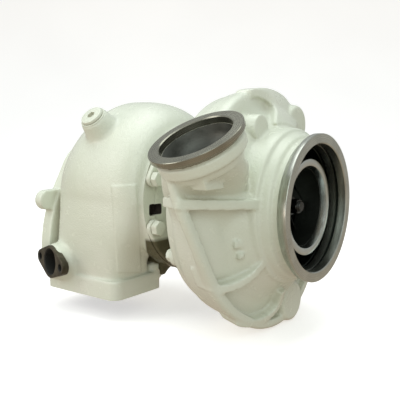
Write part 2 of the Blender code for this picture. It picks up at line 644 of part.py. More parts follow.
scroll = loft("scroll", [wrapped(scroll_section(50 + 295.0 * k / 14), 50 + 295.0 * k / 14) for k in range(15)])
pipe_bore = rod("pipe_bore", [
    (polar(112.0, -30.0, 91.0), 16.0), (polar(113.0, -8.0, 93.0), 18.0), (Vector((95, -124, 22)), 21.0), (Vector((106.5, -137, 46)), 29.5),
    (DISCHARGE_C - DISCHARGE_N * 18, 36.8), (DISCHARGE_C + DISCHARGE_N * 3, DISCHARGE_BORE_R),
], steps=24)
cover_holes = merged("cover_holes", [
    rod("hole", [(polar(COVER_BOLT_R, a, 46), 5.4), (polar(COVER_BOLT_R, a, 66), 5.4)], u_y, steps=10) for a in COVER_BOLT_ANGLES
])
cut(cover, wheel_bore, scroll, pipe_bore, cover_holes)
place(cover, "compressor_housing", CREAM)

shroud = turned("shroud", [
    (118.5, 46.4), (118.5, 54), (121, 56), (SHROUD_RING_FRONT_X - 0.8, SHROUD_RING_R[1]), (SHROUD_RING_FRONT_X, 55.2),
    (SHROUD_RING_FRONT_X, 47), (SHROUD_RING_FRONT_X - 5, SHROUD_RING_R[0]),
])
joined(shroud, *[
    web("strut", polar(54.5, a, 119.0), polar(72.6, a, 119.0), 5.0, (16, 0, 0), polar(1.0, a + 90)) for a in (60, 180, 300)
])
place(shroud, "inlet_shroud_ring", ALLOY)

# ---------------------------------------------------------------- clamps and bolts

def hex_bolt(name, across_flats, head, shank_r, length):
    """A hexagon bolt along -X: the seat of its head is at x = 0 and its head is on +X."""
    corner = across_flats / math.sqrt(3)
    bolt = joined(
        stepped(name, Vector((0, 0, 0)), u_x, [(0.0, corner), (head, corner)], sides=6),
        stepped("shank", Vector((0, 0, 0)), u_x, [(-length, shank_r), (1.0, shank_r)], sides=8),
    )
    return bolt


def copies(master, names, spots, look, flip=False):
    for name, spot in zip(names, spots):
        ob = bpy.data.objects.new(name, master.data.copy())
        assembly.objects.link(ob)
        place(ob, name, look)
        ob.location = Vector(spot) * MM
        if flip:
            ob.rotation_euler = (0.0, 0.0, math.pi)
    bpy.data.objects.remove(master, do_unlink=True)


PLATE_X = TURBINE_FACE_X + 0.6
PLATE_T = 5.8
for index, middle in enumerate((45.0, 135.0, 225.0, 315.0)):
    # round the first bolt, along the outer edge, round the second bolt, back along the inner edge
    reach = 45.0 - CLAMP_SPREAD
    first = polar(CLAMP_BOLT_R, middle - reach)
    second = polar(CLAMP_BOLT_R, middle + reach)

    def around(centre, start, stop):
        return [tuple((centre + polar(10.3, start + (stop - start) * k / 6))[1:]) for k in range(7)]

    loop = around(first, middle - reach - 150, middle - reach)
    loop += [tuple(polar(94.5, middle + d)[1:]) for d in (-12, -4, 4, 12)]
    loop += around(second, middle + reach, middle + reach + 150)
    loop += [tuple(polar(67.0, middle + d)[1:]) for d in (22, 11, 0, -11, -22)]
    clamp = plate("clamp", loop, PLATE_T, (PLATE_X + PLATE_T / 2, 0, 0), u_y, u_z, u_x,
                  holes=[(first[1], first[2], 5.3), (second[1], second[2], 5.3)])
    place(clamp, "turbine_clamp_plate_%d" % (index + 1), CREAM)

copies(hex_bolt("clamp_bolt", 17.0, 8.6, 4.9, 25.0),
       ["turbine_clamp_bolt_%d" % (k + 1) for k in range(8)],
       [polar(CLAMP_BOLT_R, a, PLATE_X + PLATE_T + 0.3) for a in CLAMP_BOLT_ANGLES], CREAM)
copies(hex_bolt("cover_bolt", 16.0, 8.5, 5.0, 30.0),
       ["compressor_bolt_%d" % (k + 1) for k in range(5)],
       [polar(COVER_BOLT_R, a, 34.0) for a in COVER_BOLT_ANGLES], CREAM, flip=True)

# ---------------------------------------------------------------- rotor

def blade(name, hub, tip, wrap, start, thick):
    """One vane: hub and tip lines of (x, r), its turn about the shaft at each station, in degrees."""
    rings = []
    for (xh, rh), (xt, rt), turn in zip(hub, tip, wrap):
        sink = 2.0 / max(math.hypot(xt - xh, rt - rh), 1.0)
        xh, rh = xh - (xt - xh) * sink, rh - (rt - rh) * sink
        ring = []
        for x, r, side in ((xh, rh, -1), (xh, rh, 1), (xt, rt, 1), (xt, rt, -1)):
            t = math.radians(start + turn)
            half = side * thick / 2 * (1.0 if r < 25 else 0.8)
            ring.append((x, r * math.cos(t) - half * math.sin(t), r * math.sin(t) + half * math.cos(t)))
        rings.append(ring)
    return loft(name, rings)


shaft = turned("rotor", [
    (-108, 0), (-108, 10), (-106.5, 12), (-100, 14.6), (-88, 20), (-76, 28), (-64, 38), (-54, 46.5), (-50, 50), (-45.5, 50), (-44.5, 40), (-44.5, 15),
    (-34, 15), (-34, 12.6), (-32, 12.6), (-32, 15), (-27.5, 15), (-26, SHAFT_R), (31.6, SHAFT_R), (31.6, STUB_R), (147.3, STUB_R), (148.3, 5.5), (148.3, 0),
], steps=SMALL)
turbine_hub = [(-104, 13.2), (-90, 19), (-76, 28), (-62, 39.6), (-50.8, 49.2)]
turbine_tip = [(-105.5, 46.2), (-93, 46.2), (-82, 46.3), (-74.8, 48.6), (-70, 50.4)]
joined(shaft, merged("blades", [
    blade("blade", turbine_hub, turbine_tip, (46, 25, 11, 3, 0), 360.0 / TURBINE_BLADES * k, 2.4) for k in range(TURBINE_BLADES)
]))
place(shaft, "turbine_wheel_shaft", NICKEL, rotor_empty)

wheel = turned("wheel", [
    (133, 6.8), (133, 12.5), (122, 14.5), (110, 17.5), (98, 23), (88, 31), (80, 41), (75, 50), (72.4, 57), (69.8, 57), (68, 25), (67.7, 6.8),
], steps=21)
wheel_hub = [(128, 13.9), (115, 16.2), (103, 20.5), (92, 27.6), (81, 39.6), (72.8, 55.8)]
wheel_tip = [(127, 44.6), (115, 44.7), (104, 44.9), (94, 47.2), (86, 51.0), (79.0, 56.8)]
turn = (0, 24, 38, 48, 56, 64)
full = [blade("blade", wheel_hub, wheel_tip, turn, 360.0 / COMPRESSOR_BLADES * k, 1.7) for k in range(COMPRESSOR_BLADES)]
split = [blade("blade", wheel_hub[2:], wheel_tip[2:], turn[2:], 360.0 / COMPRESSOR_BLADES * (k + 0.5), 1.7) for k in range(COMPRESSOR_BLADES)]
joined(wheel, merged("blades", full + split))
place(wheel, "compressor_wheel", ALLOY, rotor_empty)

nut = stepped("nut", Vector((0, 0, 0)), u_x, [(133.3, 9.4), (144, 9.4), (145.4, 8.2)], sides=6)
joined(nut, stepped("nut_flange", Vector((0, 0, 0)), u_x, [(133.3, 11.2), (135.5, 11.2)], sides=20))
cut(nut, rod("thread", [(Vector((130, 0, 0)), 6.8), (Vector((150, 0, 0)), 6.8)], u_y, steps=SMALL))
place(nut, "compressor_nut", DARK_STEEL, rotor_empty)

place(turned("collar", [(38.4, 6.8), (31.9, 6.8), (31.9, 20), (34.3, 20), (34.3, 11), (38.4, 11)], SMALL), "thrust_collar", STEEL, rotor_empty)
place(turned("slinger", [
    (67.4, 6.8), (38.7, 6.8), (38.7, 20), (40.6, 20), (41, 13), (53, 13), (53, 11), (55, 11), (55, 13), (67.4, 13),
], SMALL), "oil_slinger", STEEL, rotor_empty)


def floating_bearing(name, x0, x1):
    sleeve = turned(name, [(x1, BEARING_R[0]), (x0, BEARING_R[0]), (x0, BEARING_R[1] - 0.6), (x0 + 0.6, BEARING_R[1]), (x1 - 0.6, BEARING_R[1]), (x1, BEARING_R[1] - 0.6)], SMALL)
    middle = (x0 + x1) / 2
    cut(sleeve, merged("oil_holes", [
        rod("hole", [(polar(6.0, a, middle), 1.5), (polar(14.0, a, middle), 1.5)], steps=6) for a in (0, 90, 180, 270)
    ]))
    place(sleeve, name, BRONZE)


floating_bearing("journal_bearing_turbine", -10.2, 4.0)
floating_bearing("journal_bearing_compressor", 13.6, 27.8)

bpy.context.view_layer.update()
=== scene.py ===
"""Looks for the water-cooled turbocharger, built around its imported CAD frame.

Shapes below are in millimetres on the shaft frame: X along the shaft towards the
compressor inlet, -Y the front, +Z up. SHAFT moves them into the row frame.
"""

import math

import bmesh
import bpy
import numpy as np
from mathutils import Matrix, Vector


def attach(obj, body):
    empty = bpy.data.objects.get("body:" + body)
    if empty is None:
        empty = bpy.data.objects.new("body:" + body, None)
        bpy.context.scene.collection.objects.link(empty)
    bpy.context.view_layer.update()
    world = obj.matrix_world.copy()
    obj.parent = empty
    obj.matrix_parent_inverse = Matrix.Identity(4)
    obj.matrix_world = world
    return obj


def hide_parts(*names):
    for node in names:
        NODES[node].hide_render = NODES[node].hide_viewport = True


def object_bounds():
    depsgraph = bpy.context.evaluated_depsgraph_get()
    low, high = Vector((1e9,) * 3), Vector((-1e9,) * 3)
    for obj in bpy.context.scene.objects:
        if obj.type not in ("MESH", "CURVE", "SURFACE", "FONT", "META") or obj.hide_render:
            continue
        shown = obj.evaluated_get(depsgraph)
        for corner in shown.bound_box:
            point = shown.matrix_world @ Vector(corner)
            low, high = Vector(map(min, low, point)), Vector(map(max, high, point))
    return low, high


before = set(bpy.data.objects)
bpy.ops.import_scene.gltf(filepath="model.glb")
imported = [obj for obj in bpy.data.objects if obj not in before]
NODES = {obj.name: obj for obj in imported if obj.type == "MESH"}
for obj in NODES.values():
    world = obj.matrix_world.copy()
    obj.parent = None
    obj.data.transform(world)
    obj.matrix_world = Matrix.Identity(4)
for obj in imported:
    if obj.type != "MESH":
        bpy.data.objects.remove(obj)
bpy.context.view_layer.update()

MM = 0.001
SHAFT = np.array((0.119, 0.062, 0.125))
scene = bpy.context.scene

# ---------------------------------------------------------------- camera

AZIMUTH, ELEVATION = math.radians(36.8), math.radians(6.66)
DISTANCE, FOCAL_PX = 737.3, 556.0
TARGET = np.array((0.0, 0.0, -2.6))
CAM_RIGHT = np.array((math.cos(AZIMUTH), math.sin(AZIMUTH), 0.0))
CAM_BACK = np.array((math.sin(AZIMUTH) * math.cos(ELEVATION), -math.cos(AZIMUTH) * math.cos(ELEVATION), math.sin(ELEVATION)))
CAM_UP = np.cross(CAM_BACK, CAM_RIGHT)


def pixels(points):
    """Where points of the shaft frame fall in the 400 x 400 picture."""
    p = np.asarray(points, float) - TARGET
    depth = DISTANCE - p @ CAM_BACK
    return np.stack([200 + FOCAL_PX * (p @ CAM_RIGHT) / depth, 200 - FOCAL_PX * (p @ CAM_UP) / depth], axis=1)


camera = bpy.data.objects.new("camera", bpy.data.cameras.new("camera"))
scene.collection.objects.link(camera)
scene.camera = camera
camera.data.sensor_width = 36.0
camera.data.lens = 36.0 * FOCAL_PX / 400.0
camera.location = Vector((TARGET + CAM_BACK * DISTANCE) * MM + SHAFT)
camera.rotation_mode = "QUATERNION"
camera.rotation_quaternion = Vector(-CAM_BACK).to_track_quat("-Z", "Y")
camera.data.clip_start, camera.data.clip_end = 0.01, 100.0

# ---------------------------------------------------------------- materials


class Look:
    """A small wrapper round one node material."""

    def __init__(self, name):
        self.mat = bpy.data.materials.new(name)
        self.mat.use_nodes = True
        self.tree = self.mat.node_tree
        self.bsdf = next(n for n in self.tree.nodes if n.type == "BSDF_PRINCIPLED")
        self.coords = self.tree.nodes.new("ShaderNodeTexCoord").outputs["Object"]

    def node(self, kind, **values):
        n = self.tree.nodes.new(kind)
        for key, value in values.items():
            setattr(n, key, value)
        return n

    def link(self, a, b):
        self.tree.links.new(a, b)

    def set(self, **values):
        for key, value in values.items():
            self.bsdf.inputs[key.replace("_", " ")].default_value = value
        return self

    def noise(self, scale, detail=3.0, rough=0.55, vector=None, dims="3D"):
        n = self.node("ShaderNodeTexNoise", noise_dimensions=dims)
        n.inputs["Scale"].default_value = scale
        n.inputs["Detail"].default_value = detail
        n.inputs["Roughness"].default_value = rough
        self.link(vector or self.coords, n.inputs["Vector"])
        return n.outputs["Fac"]

    def ramp(self, fac, stops):
        n = self.node("ShaderNodeValToRGB")
        ramp = n.color_ramp
        while len(ramp.elements) < len(stops):
            ramp.elements.new(0.5)
        for e, (at, colour) in zip(ramp.elements, stops):
            e.position = at
            e.color = (*colour, 1.0) if len(colour) == 3 else colour
        self.link(fac, n.inputs["Fac"])
        return n.outputs["Color"]

    def span(self, fac, low, high, start=0.0, stop=1.0):
        n = self.node("ShaderNodeMapRange")
        n.inputs["From Min"].default_value, n.inputs["From Max"].default_value = start, stop
        n.inputs["To Min"].default_value, n.inputs["To Max"].default_value = low, high
        self.link(fac, n.inputs["Value"])
        return n.outputs["Result"]

    def colour(self, socket):
        self.link(socket, self.bsdf.inputs["Base Color"])

    def roughness(self, socket):
        self.link(socket, self.bsdf.inputs["Roughness"])

    def mix(self, fac, a, b, blend="MIX"):
        n = self.node("ShaderNodeMix", data_type="RGBA", blend_type=blend)
        for socket, value in ((n.inputs["Factor"], fac), (n.inputs[6], a), (n.inputs[7], b)):
            if hasattr(value, "is_linked"):
                self.link(value, socket)
            else:
                socket.default_value = value
        return n.outputs[2]

    def bumps(self, *layers):
        """Bump layers of (height socket, strength, distance), one on the other."""
        last = None
        for height, strength, distance in layers:
            n = self.node("ShaderNodeBump")
            n.inputs["Strength"].default_value = strength
            n.inputs["Distance"].default_value = distance
            self.link(height, n.inputs["Height"])
            if last is not None:
                self.link(last, n.inputs["Normal"])
            last = n.outputs["Normal"]
        self.link(last, self.bsdf.inputs["Normal"])

    def turned_marks(self, centre, axis, fine=2600.0):
        """A height that changes only with the distance from an axis and along it, as tool marks on a lathe do."""
        centre, axis = Vector(centre) * MM + Vector(SHAFT), Vector(axis).normalized()
        offset = self.node("ShaderNodeVectorMath", operation="SUBTRACT")
        self.link(self.coords, offset.inputs[0])
        offset.inputs[1].default_value = centre
        along = self.node("ShaderNodeVectorMath", operation="DOT_PRODUCT")
        self.link(offset.outputs["Vector"], along.inputs[0])
        along.inputs[1].default_value = axis
        across = self.node("ShaderNodeVectorMath", operation="CROSS_PRODUCT")
        self.link(offset.outputs["Vector"], across.inputs[0])
        across.inputs[1].default_value = axis
        radius = self.node("ShaderNodeVectorMath", operation="LENGTH")
        self.link(across.outputs["Vector"], radius.inputs[0])
        pair = self.node("ShaderNodeCombineXYZ")
        self.link(radius.outputs["Value"], pair.inputs["X"])
        self.link(along.outputs["Value"], pair.inputs["Y"])
        return self.noise(fine, 2.0, 0.6, pair.outputs["Vector"])


def enamel():
    k = Look("cream_enamel_paint")
    broad = k.noise(9.0, 3.0)
    cloudy = k.noise(60.0, 4.0)
    base = k.ramp(broad, [(0.30, (0.650, 0.695, 0.578)), (0.55, (0.695, 0.732, 0.628)), (0.75, (0.730, 0.744, 0.662))])
    # painted shade: creases and recesses are darkened towards brown wherever ambient occlusion finds them shut in
    crease = k.node("ShaderNodeAmbientOcclusion", samples=6)
    crease.inputs["Distance"].default_value = 0.014
    crease_shade = k.span(crease.outputs["AO"], 0.48, 0.0, 0.25, 0.90)
    base = k.mix(crease_shade, base, (0.40, 0.355, 0.250, 1.0))
    # painted shade: dark olive-brown in the hollow under the turbine joint, where shade falls between the castings
    place = k.node("ShaderNodeSeparateXYZ")
    k.link(k.coords, place.inputs[0])

    def edge(axis, clear, full):
        o = SHAFT["XYZ".index(axis)]
        return k.span(place.outputs[axis], 0.0, 1.0, o + clear * MM, o + full * MM) if full > clear else k.span(place.outputs[axis], 1.0, 0.0, o + full * MM, o + clear * MM)

    def joined(kind, *sockets):
        last = sockets[0]
        for socket in sockets[1:]:
            n = k.node("ShaderNodeMath", operation=kind)
            k.link(last, n.inputs[0])
            k.link(socket, n.inputs[1])
            last = n.outputs["Value"]
        return last

    # the side of the duct hides the hollow up to a slanting upright plane
    behind = k.node("ShaderNodeVectorMath", operation="DOT_PRODUCT")
    k.link(k.coords, behind.inputs[0])
    behind.inputs[1].default_value = (0.8, 0.6, 0.0)
    start = 0.8 * SHAFT[0] + 0.6 * SHAFT[1]
    past_duct = k.span(behind.outputs["Value"], 0.0, 1.0, start - 69.0 * MM, start - 67.0 * MM)
    hollow = joined("MAXIMUM", joined("MULTIPLY", past_duct, edge("X", -46, -44)), joined("MULTIPLY", past_duct, edge("X", -54, -52), edge("Z", -91, -88)), joined("MULTIPLY", edge("Y", -42, -38), edge("X", -84, -80), edge("Z", -90, -87)))
    hollow_shade = joined("MULTIPLY", hollow, edge("Z", -43, -48), edge("Z", -109, -106), edge("X", 32, 26), edge("Y", 70, 30))
    # the painted shade's dark olive-brown colour, with its sheen dulled below
    base = k.mix(k.span(hollow_shade, 0.0, 0.96), base, k.ramp(cloudy, [(0.35, (0.066, 0.058, 0.025)), (0.65, (0.100, 0.088, 0.043))]))
    k.link(k.span(hollow_shade, 0.5, 0.10), k.bsdf.inputs["Specular IOR Level"])
    k.colour(base)
    k.roughness(k.span(cloudy, 0.17, 0.30, 0.3, 0.7))
    k.set(IOR=1.5)
    k.bumps((k.noise(130.0, 2.0, 0.5), 0.18, 0.0008), (k.noise(560.0, 2.0, 0.5), 0.65, 0.0007))
    return k.mat


def machined(name, centre, axis, tint, low, high, fine=2600.0, stain=0.25):
    k = Look(name)
    marks = k.turned_marks(centre, axis, fine)
    cloud = k.noise(45.0, 4.0)
    dark = tuple(c * (1.0 - stain) for c in tint)
    k.colour(k.mix(k.span(marks, 0.0, 0.55), k.ramp(cloud, [(0.32, dark), (0.62, tint)]), (*[c * 1.12 for c in tint], 1.0)))
    k.roughness(k.span(marks, low, high, 0.25, 0.75))
    k.set(Metallic=1.0)
    k.bumps((marks, 0.20, 0.00012), (k.noise(900.0, 2.0), 0.05, 0.0001))
    return k.mat


def bare_iron():
    k = Look("bare_milled_iron")
    cloud = k.noise(70.0, 5.0)
    k.colour(k.ramp(cloud, [(0.28, (0.040, 0.035, 0.023)), (0.5, (0.078, 0.070, 0.049)), (0.72, (0.135, 0.122, 0.092))]))
    k.roughness(k.span(k.noise(220.0, 3.0), 0.34, 0.55, 0.3, 0.7))
    k.set(Metallic=0.9)
    k.bumps((k.noise(700.0, 3.0), 0.22, 0.0002))
    return k.mat


def cast_dark(name, low, high, metal=0.35):
    """The rough unpainted inside of a casting."""
    k = Look(name)
    cloud = k.noise(55.0, 5.0)
    k.colour(k.ramp(cloud, [(0.3, low), (0.7, high)]))
    k.roughness(k.span(cloud, 0.55, 0.85, 0.3, 0.7))
    k.set(Metallic=metal)
    k.bumps((k.noise(520.0, 4.0), 0.5, 0.0005))
    return k.mat


def throat(name, centre, axis, low, high, metal):
    """The rough inside of a pipe, with painted shade: darker the deeper it lies."""
    k = Look(name)
    cloud = k.noise(55.0, 5.0)
    offset = k.node("ShaderNodeVectorMath", operation="SUBTRACT")
    k.link(k.coords, offset.inputs[0])
    offset.inputs[1].default_value = Vector(centre) * MM + Vector(SHAFT)
    along = k.node("ShaderNodeVectorMath", operation="DOT_PRODUCT")
    k.link(offset.outputs["Vector"], along.inputs[0])
    along.inputs[1].default_value = Vector(axis)
    # painted shade: the colour fades to near black deeper down the bore
    k.colour(k.mix(k.span(along.outputs["Value"], 0.0, 0.95, -0.010, -0.036), k.ramp(cloud, [(0.3, low), (0.7, high)]), (0.010, 0.011, 0.009, 1.0)))
    k.roughness(k.span(cloud, 0.35, 0.6, 0.3, 0.7))
    k.set(Metallic=metal)
    k.bumps((k.noise(520.0, 4.0), 0.5, 0.0005))
    return k.mat


def plain_metal(name, tint, low, high, scale=300.0, metal=1.0, bump=0.1):
    k = Look(name)
    cloud = k.noise(scale, 4.0)
    k.colour(k.ramp(cloud, [(0.3, tuple(c * 0.78 for c in tint)), (0.7, tint)]))
    k.roughness(k.span(cloud, low, high, 0.3, 0.7))
    k.set(Metallic=metal)
    k.bumps((k.noise(scale * 5, 3.0), bump, 0.0001))
    return k.mat


ENAMEL = enamel()
SHAFT_AXIS = ((0, 0, 0), (1, 0, 0))
LIP_STEEL = machined("turned_lip_metal", *SHAFT_AXIS, (0.50, 0.515, 0.465), 0.20, 0.36)
# painted shade: the inlet bore and inducer sleeve metals get near-black tints for the shade inside the inlet
BORE_METAL = machined("turned_bore_metal_painted_shade", *SHAFT_AXIS, (0.046, 0.054, 0.047), 0.22, 0.40, 1800.0, 0.4)
EYE_METAL = machined("inducer_bore_painted_shade", *SHAFT_AXIS, (0.105, 0.118, 0.102), 0.30, 0.50, 1800.0, 0.4)
RING_ALLOY = machined("turned_ring_alloy", *SHAFT_AXIS, (0.54, 0.57, 0.55), 0.13, 0.26, 2200.0, 0.12)
FACE_IRON = machined("turned_iron_face", *SHAFT_AXIS, (0.30, 0.28, 0.26), 0.28, 0.45)
DISCHARGE_C = np.array((112.0, -158.0, 82.3))
DISCHARGE_N = np.array((-0.09, -0.5, 0.861))
DISCHARGE_N /= np.linalg.norm(DISCHARGE_N)
MOUTH_STEEL = machined("turned_mouth_metal", DISCHARGE_C, DISCHARGE_N, (0.33, 0.325, 0.265), 0.18, 0.34)
MOUTH_BORE = throat("discharge_bore_skin", DISCHARGE_C, DISCHARGE_N, (0.120, 0.126, 0.110), (0.240, 0.248, 0.222), 0.8)
IRON = bare_iron()
GAS_SKIN = cast_dark("gas_passage_skin", (0.030, 0.024, 0.020), (0.085, 0.070, 0.058), 0.3)
AIR_SKIN = cast_dark("air_passage_skin", (0.016, 0.016, 0.014), (0.040, 0.040, 0.036), 0.5)
NUT_STEEL = plain_metal("blackened_nut_steel", (0.055, 0.056, 0.052), 0.25, 0.42)
# painted shade: the impeller alloy gets a near-black tint for the shade deep inside the inlet
IMPELLER = plain_metal("impeller_alloy_painted_shade", (0.085, 0.090, 0.082), 0.40, 0.55, 160.0)
HOT_ALLOY = plain_metal("turbine_wheel_alloy", (0.22, 0.19, 0.165), 0.38, 0.58, 120.0, 1.0, 0.3)
TURNED = plain_metal("turned_steel", (0.45, 0.44, 0.43), 0.22, 0.38, 420.0)
SPRING = plain_metal("oiled_spring_steel", (0.15, 0.15, 0.155), 0.30, 0.45, 420.0)
BRONZE = plain_metal("bearing_bronze_metal", (0.60, 0.40, 0.17), 0.24, 0.40, 260.0)


def rubber():
    k = Look("black_seal_rubber")
    cloud = k.noise(350.0, 3.0)
    k.colour(k.ramp(cloud, [(0.3, (0.012, 0.012, 0.012)), (0.7, (0.030, 0.030, 0.031))]))
    k.roughness(k.span(cloud, 0.55, 0.75, 0.3, 0.7))
    k.bumps((k.noise(1800.0, 2.0), 0.12, 0.0001))
    return k.mat


RUBBER = rubber()

# ---------------------------------------------------------------- mesh tools

workshop = bpy.data.collections.new("turbocharger")
scene.collection.children.link(workshop)


def thing(name, mesh):
    ob = bpy.data.objects.new(name, mesh)
    workshop.objects.link(ob)
    return ob


def skin(name, verts, faces, material=None):
    """A mesh from points of the shaft frame."""
    mesh = bpy.data.meshes.new(name)
    mesh.from_pydata([tuple(v) for v in np.asarray(verts, float) * MM + SHAFT], [], faces)
    bm = bmesh.new()
    bm.from_mesh(mesh)
    bmesh.ops.remove_doubles(bm, verts=bm.verts, dist=1e-6)
    bmesh.ops.recalc_face_normals(bm, faces=bm.faces)
    bm.to_mesh(mesh)
    bm.free()
    if material is not None:
        mesh.materials.append(material)
    return thing(name, mesh)


def loft(name, rings, closed=False, material=None):
    n, m = len(rings[0]), len(rings)
    verts = np.concatenate([np.asarray(r, float) for r in rings])
    faces = []
    for i in range(m if closed else m - 1):
        a, b = i * n, ((i + 1) % m) * n
        faces += [(a + j, a + (j + 1) % n, b + (j + 1) % n, b + j) for j in range(n)]
    if not closed:
        faces += [tuple(range(n)), tuple(range((m - 1) * n, m * n))]
    return skin(name, verts, faces, material)


def across(normal, side=(1.0, 0.0, 0.0)):
    normal, side = np.asarray(normal, float), np.asarray(side, float)
    if abs(side @ normal) > 0.95:
        side = np.array((0.0, 1.0, 0.0))
    u = side - normal * (side @ normal)
    u /= np.linalg.norm(u)
    return u, np.cross(normal, u)


def lathe(name, profile, steps=96, centre=(0, 0, 0), axis=(1, 0, 0), ring=None, material=None):
    """Pairs of (height along the axis, radius), turned about it. A ring closes on itself; else both ends are flat caps."""
    axis = np.asarray(axis, float) / np.linalg.norm(axis)
    u, v = across(axis)
    t = 2 * np.pi * np.arange(steps) / steps
    circle = np.outer(np.cos(t), u) + np.outer(np.sin(t), v)
    rings = [np.asarray(centre, float) + axis * h + circle * max(r, 1e-3) for h, r in profile]
    if not ring:
        return loft(name, rings, False, material)
    return loft(name, rings, True, material)


def smooth_table(table, at, wrap=None):
    """Rows (key, value...) read at a key on a smooth curve through them."""
    rows = sorted(table)
    if wrap:
        rows = [(r[0] - wrap, *r[1:]) for r in rows[:-1]] + rows + [(r[0] + wrap, *r[1:]) for r in rows[1:]]
    keys = np.array([r[0] for r in rows], float)
    vals = np.array([r[1:] for r in rows], float)
    at = min(max(at, keys[0]), keys[-1])
    i = int(min(max(np.searchsorted(keys, at) - 1, 0), len(keys) - 2))
    slope = np.gradient(vals, keys, axis=0)
    h = keys[i + 1] - keys[i]
    t = (at - keys[i]) / h
    a, b = 2 * t**3 - 3 * t**2 + 1, t**3 - 2 * t**2 + t
    c, d = -2 * t**3 + 3 * t**2, t**3 - t**2
    return a * vals[i] + b * h * slope[i] + c * vals[i + 1] + d * h * slope[i + 1]


def polar(r, degrees, x=0.0):
    t = math.radians(degrees)
    return np.array((x, -r * math.cos(t), r * math.sin(t)))


def wrapped(section, degrees):
    t = math.radians(degrees)
    return np.stack([section[:, 0], -section[:, 1] * math.cos(t), section[:, 1] * math.sin(t)], axis=1)


def level(section, z):
    return np.stack([section[:, 0], -section[:, 1], np.full(len(section), float(z))], axis=1)


def arch(xc, left, right, rc, outer, inner, power, power_right=None, points=64):
    t = 2 * np.pi * (np.arange(points) + 0.5) / points
    c, s = np.cos(t), np.sin(t)
    p = np.where(c > 0, power_right or power, power)
    x = xc + np.sign(c) * np.abs(c) ** (2 / p) * np.where(c > 0, right, left)
    r = rc + np.sign(s) * np.abs(s) ** (2 / p) * np.where(s > 0, outer, inner)
    return np.stack([x, r], axis=1)


def plate(name, outline, low, high, centre, u, v, n, material=None):
    """A flat outline in (u, v), from low to high along n."""
    o = np.asarray(outline, float)
    flat = np.asarray(centre, float) + np.outer(o[:, 0], u) + np.outer(o[:, 1], v)
    n = np.asarray(n, float)
    return loft(name, [flat + n * low, flat + n * high], False, material)


def beam(name, path, width, depth, across_dir, points=None):
    """A rib along a path of crest points, as wide as width along across_dir and as deep as the vector depth."""
    path, depth = np.asarray(path, float), np.asarray(depth, float)
    w = np.asarray(across_dir, float)
    w = w / np.linalg.norm(w) * width / 2
    return loft(name, [np.stack([p - w, p + w, p + w + depth, p - w + depth]) for p in path])


def ridge(name, path, width, depth, count=22, turn=0.0):
    """A curved rib with its crest on a smooth path, going down by the vector depth; turn swings it about the shaft."""
    path, depth = np.array(spline(path, count)), np.asarray(depth, float)
    t = math.radians(turn)
    spin = np.array(((1, 0, 0), (0, math.cos(t), math.sin(t)), (0, -math.sin(t), math.cos(t))))
    path = path @ spin.T
    rings = []
    for p, d in zip(path, np.gradient(path, axis=0)):
        w = np.cross(d, depth)
        w *= width / 2 / np.linalg.norm(w)
        rings.append(np.stack([p - w, p + w, p + w + depth, p - w + depth]))
    return loft(name, rings)


def tube(name, stations, steps=48, normal=None):
    """A round bar through (centre, radius) stations."""
    centres = np.array([c for c, _ in stations], float)
    tangent = np.gradient(centres, axis=0)
    rings = []
    for c, d, (_, r) in zip(centres, tangent, stations):
        d = np.asarray(normal, float) if normal is not None else d / np.linalg.norm(d)
        u, v = across(d)
        t = 2 * np.pi * np.arange(steps) / steps
        rings.append(c + (np.outer(np.cos(t), u) + np.outer(np.sin(t), v)) * r)
    return loft(name, rings)


def spline(points, count):
    """Points on a smooth curve through rows of numbers, evenly spread in the row index."""
    rows = [(i, *p) for i, p in enumerate(points)]
    return [smooth_table(rows, s) for s in np.linspace(0, len(points) - 1, count)]


def evaluated(ob):
    bpy.context.view_layer.update()
    graph = bpy.context.evaluated_depsgraph_get()
    mesh = bpy.data.meshes.new_from_object(ob.evaluated_get(graph))
    ob.modifiers.clear()
    ob.data = mesh
    return ob


def gathered(name, objects):
    bm = bmesh.new()
    for ob in objects:
        bm.from_mesh(ob.data)
        bpy.data.objects.remove(ob, do_unlink=True)
    mesh = bpy.data.meshes.new(name)
    bm.to_mesh(mesh)
    bm.free()
    return thing(name, mesh)


def cast(name, objects, voxel, rounds):
    """Overlapping solids run together into one skin, and rounded as a casting is."""
    ob = gathered(name, objects)
    remesh = ob.modifiers.new("Fuse", "REMESH")
    remesh.mode = "VOXEL"
    remesh.voxel_size = voxel * MM
    evaluated(ob)
    if rounds:
        soft = ob.modifiers.new("Round", "SMOOTH")
        soft.factor = 0.5
        soft.iterations = rounds
        evaluated(ob)
    return ob


def carve(ob, *cutters, operation="DIFFERENCE"):
    """Crisp machining: the cut faces take the cutter's material."""
    for tool in cutters:
        for m in tool.data.materials:
            if m is not None and m.name not in ob.data.materials:
                ob.data.materials.append(m)
        mod = ob.modifiers.new("Machine", "BOOLEAN")
        mod.operation = operation
        mod.solver = "MANIFOLD"
        mod.material_mode = "TRANSFER"
        mod.object = tool
        before = len(ob.data.polygons)
        evaluated(ob)
        print("carve", ob.name, tool.name, before, "->", len(ob.data.polygons))
        bpy.data.objects.remove(tool, do_unlink=True)
    return ob


def painted(ob, material):
    ob.data.materials.clear()
    ob.data.materials.append(material)
    return ob


def done(ob, name, body, replaces=(), angle=34.0):
    ob.name = name
    ob.data.name = name
    ob.data.shade_smooth()
    ob.data.set_sharp_from_angle(angle=math.radians(angle))
    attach(ob, body)
    if replaces:
        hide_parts(*replaces)
    return ob


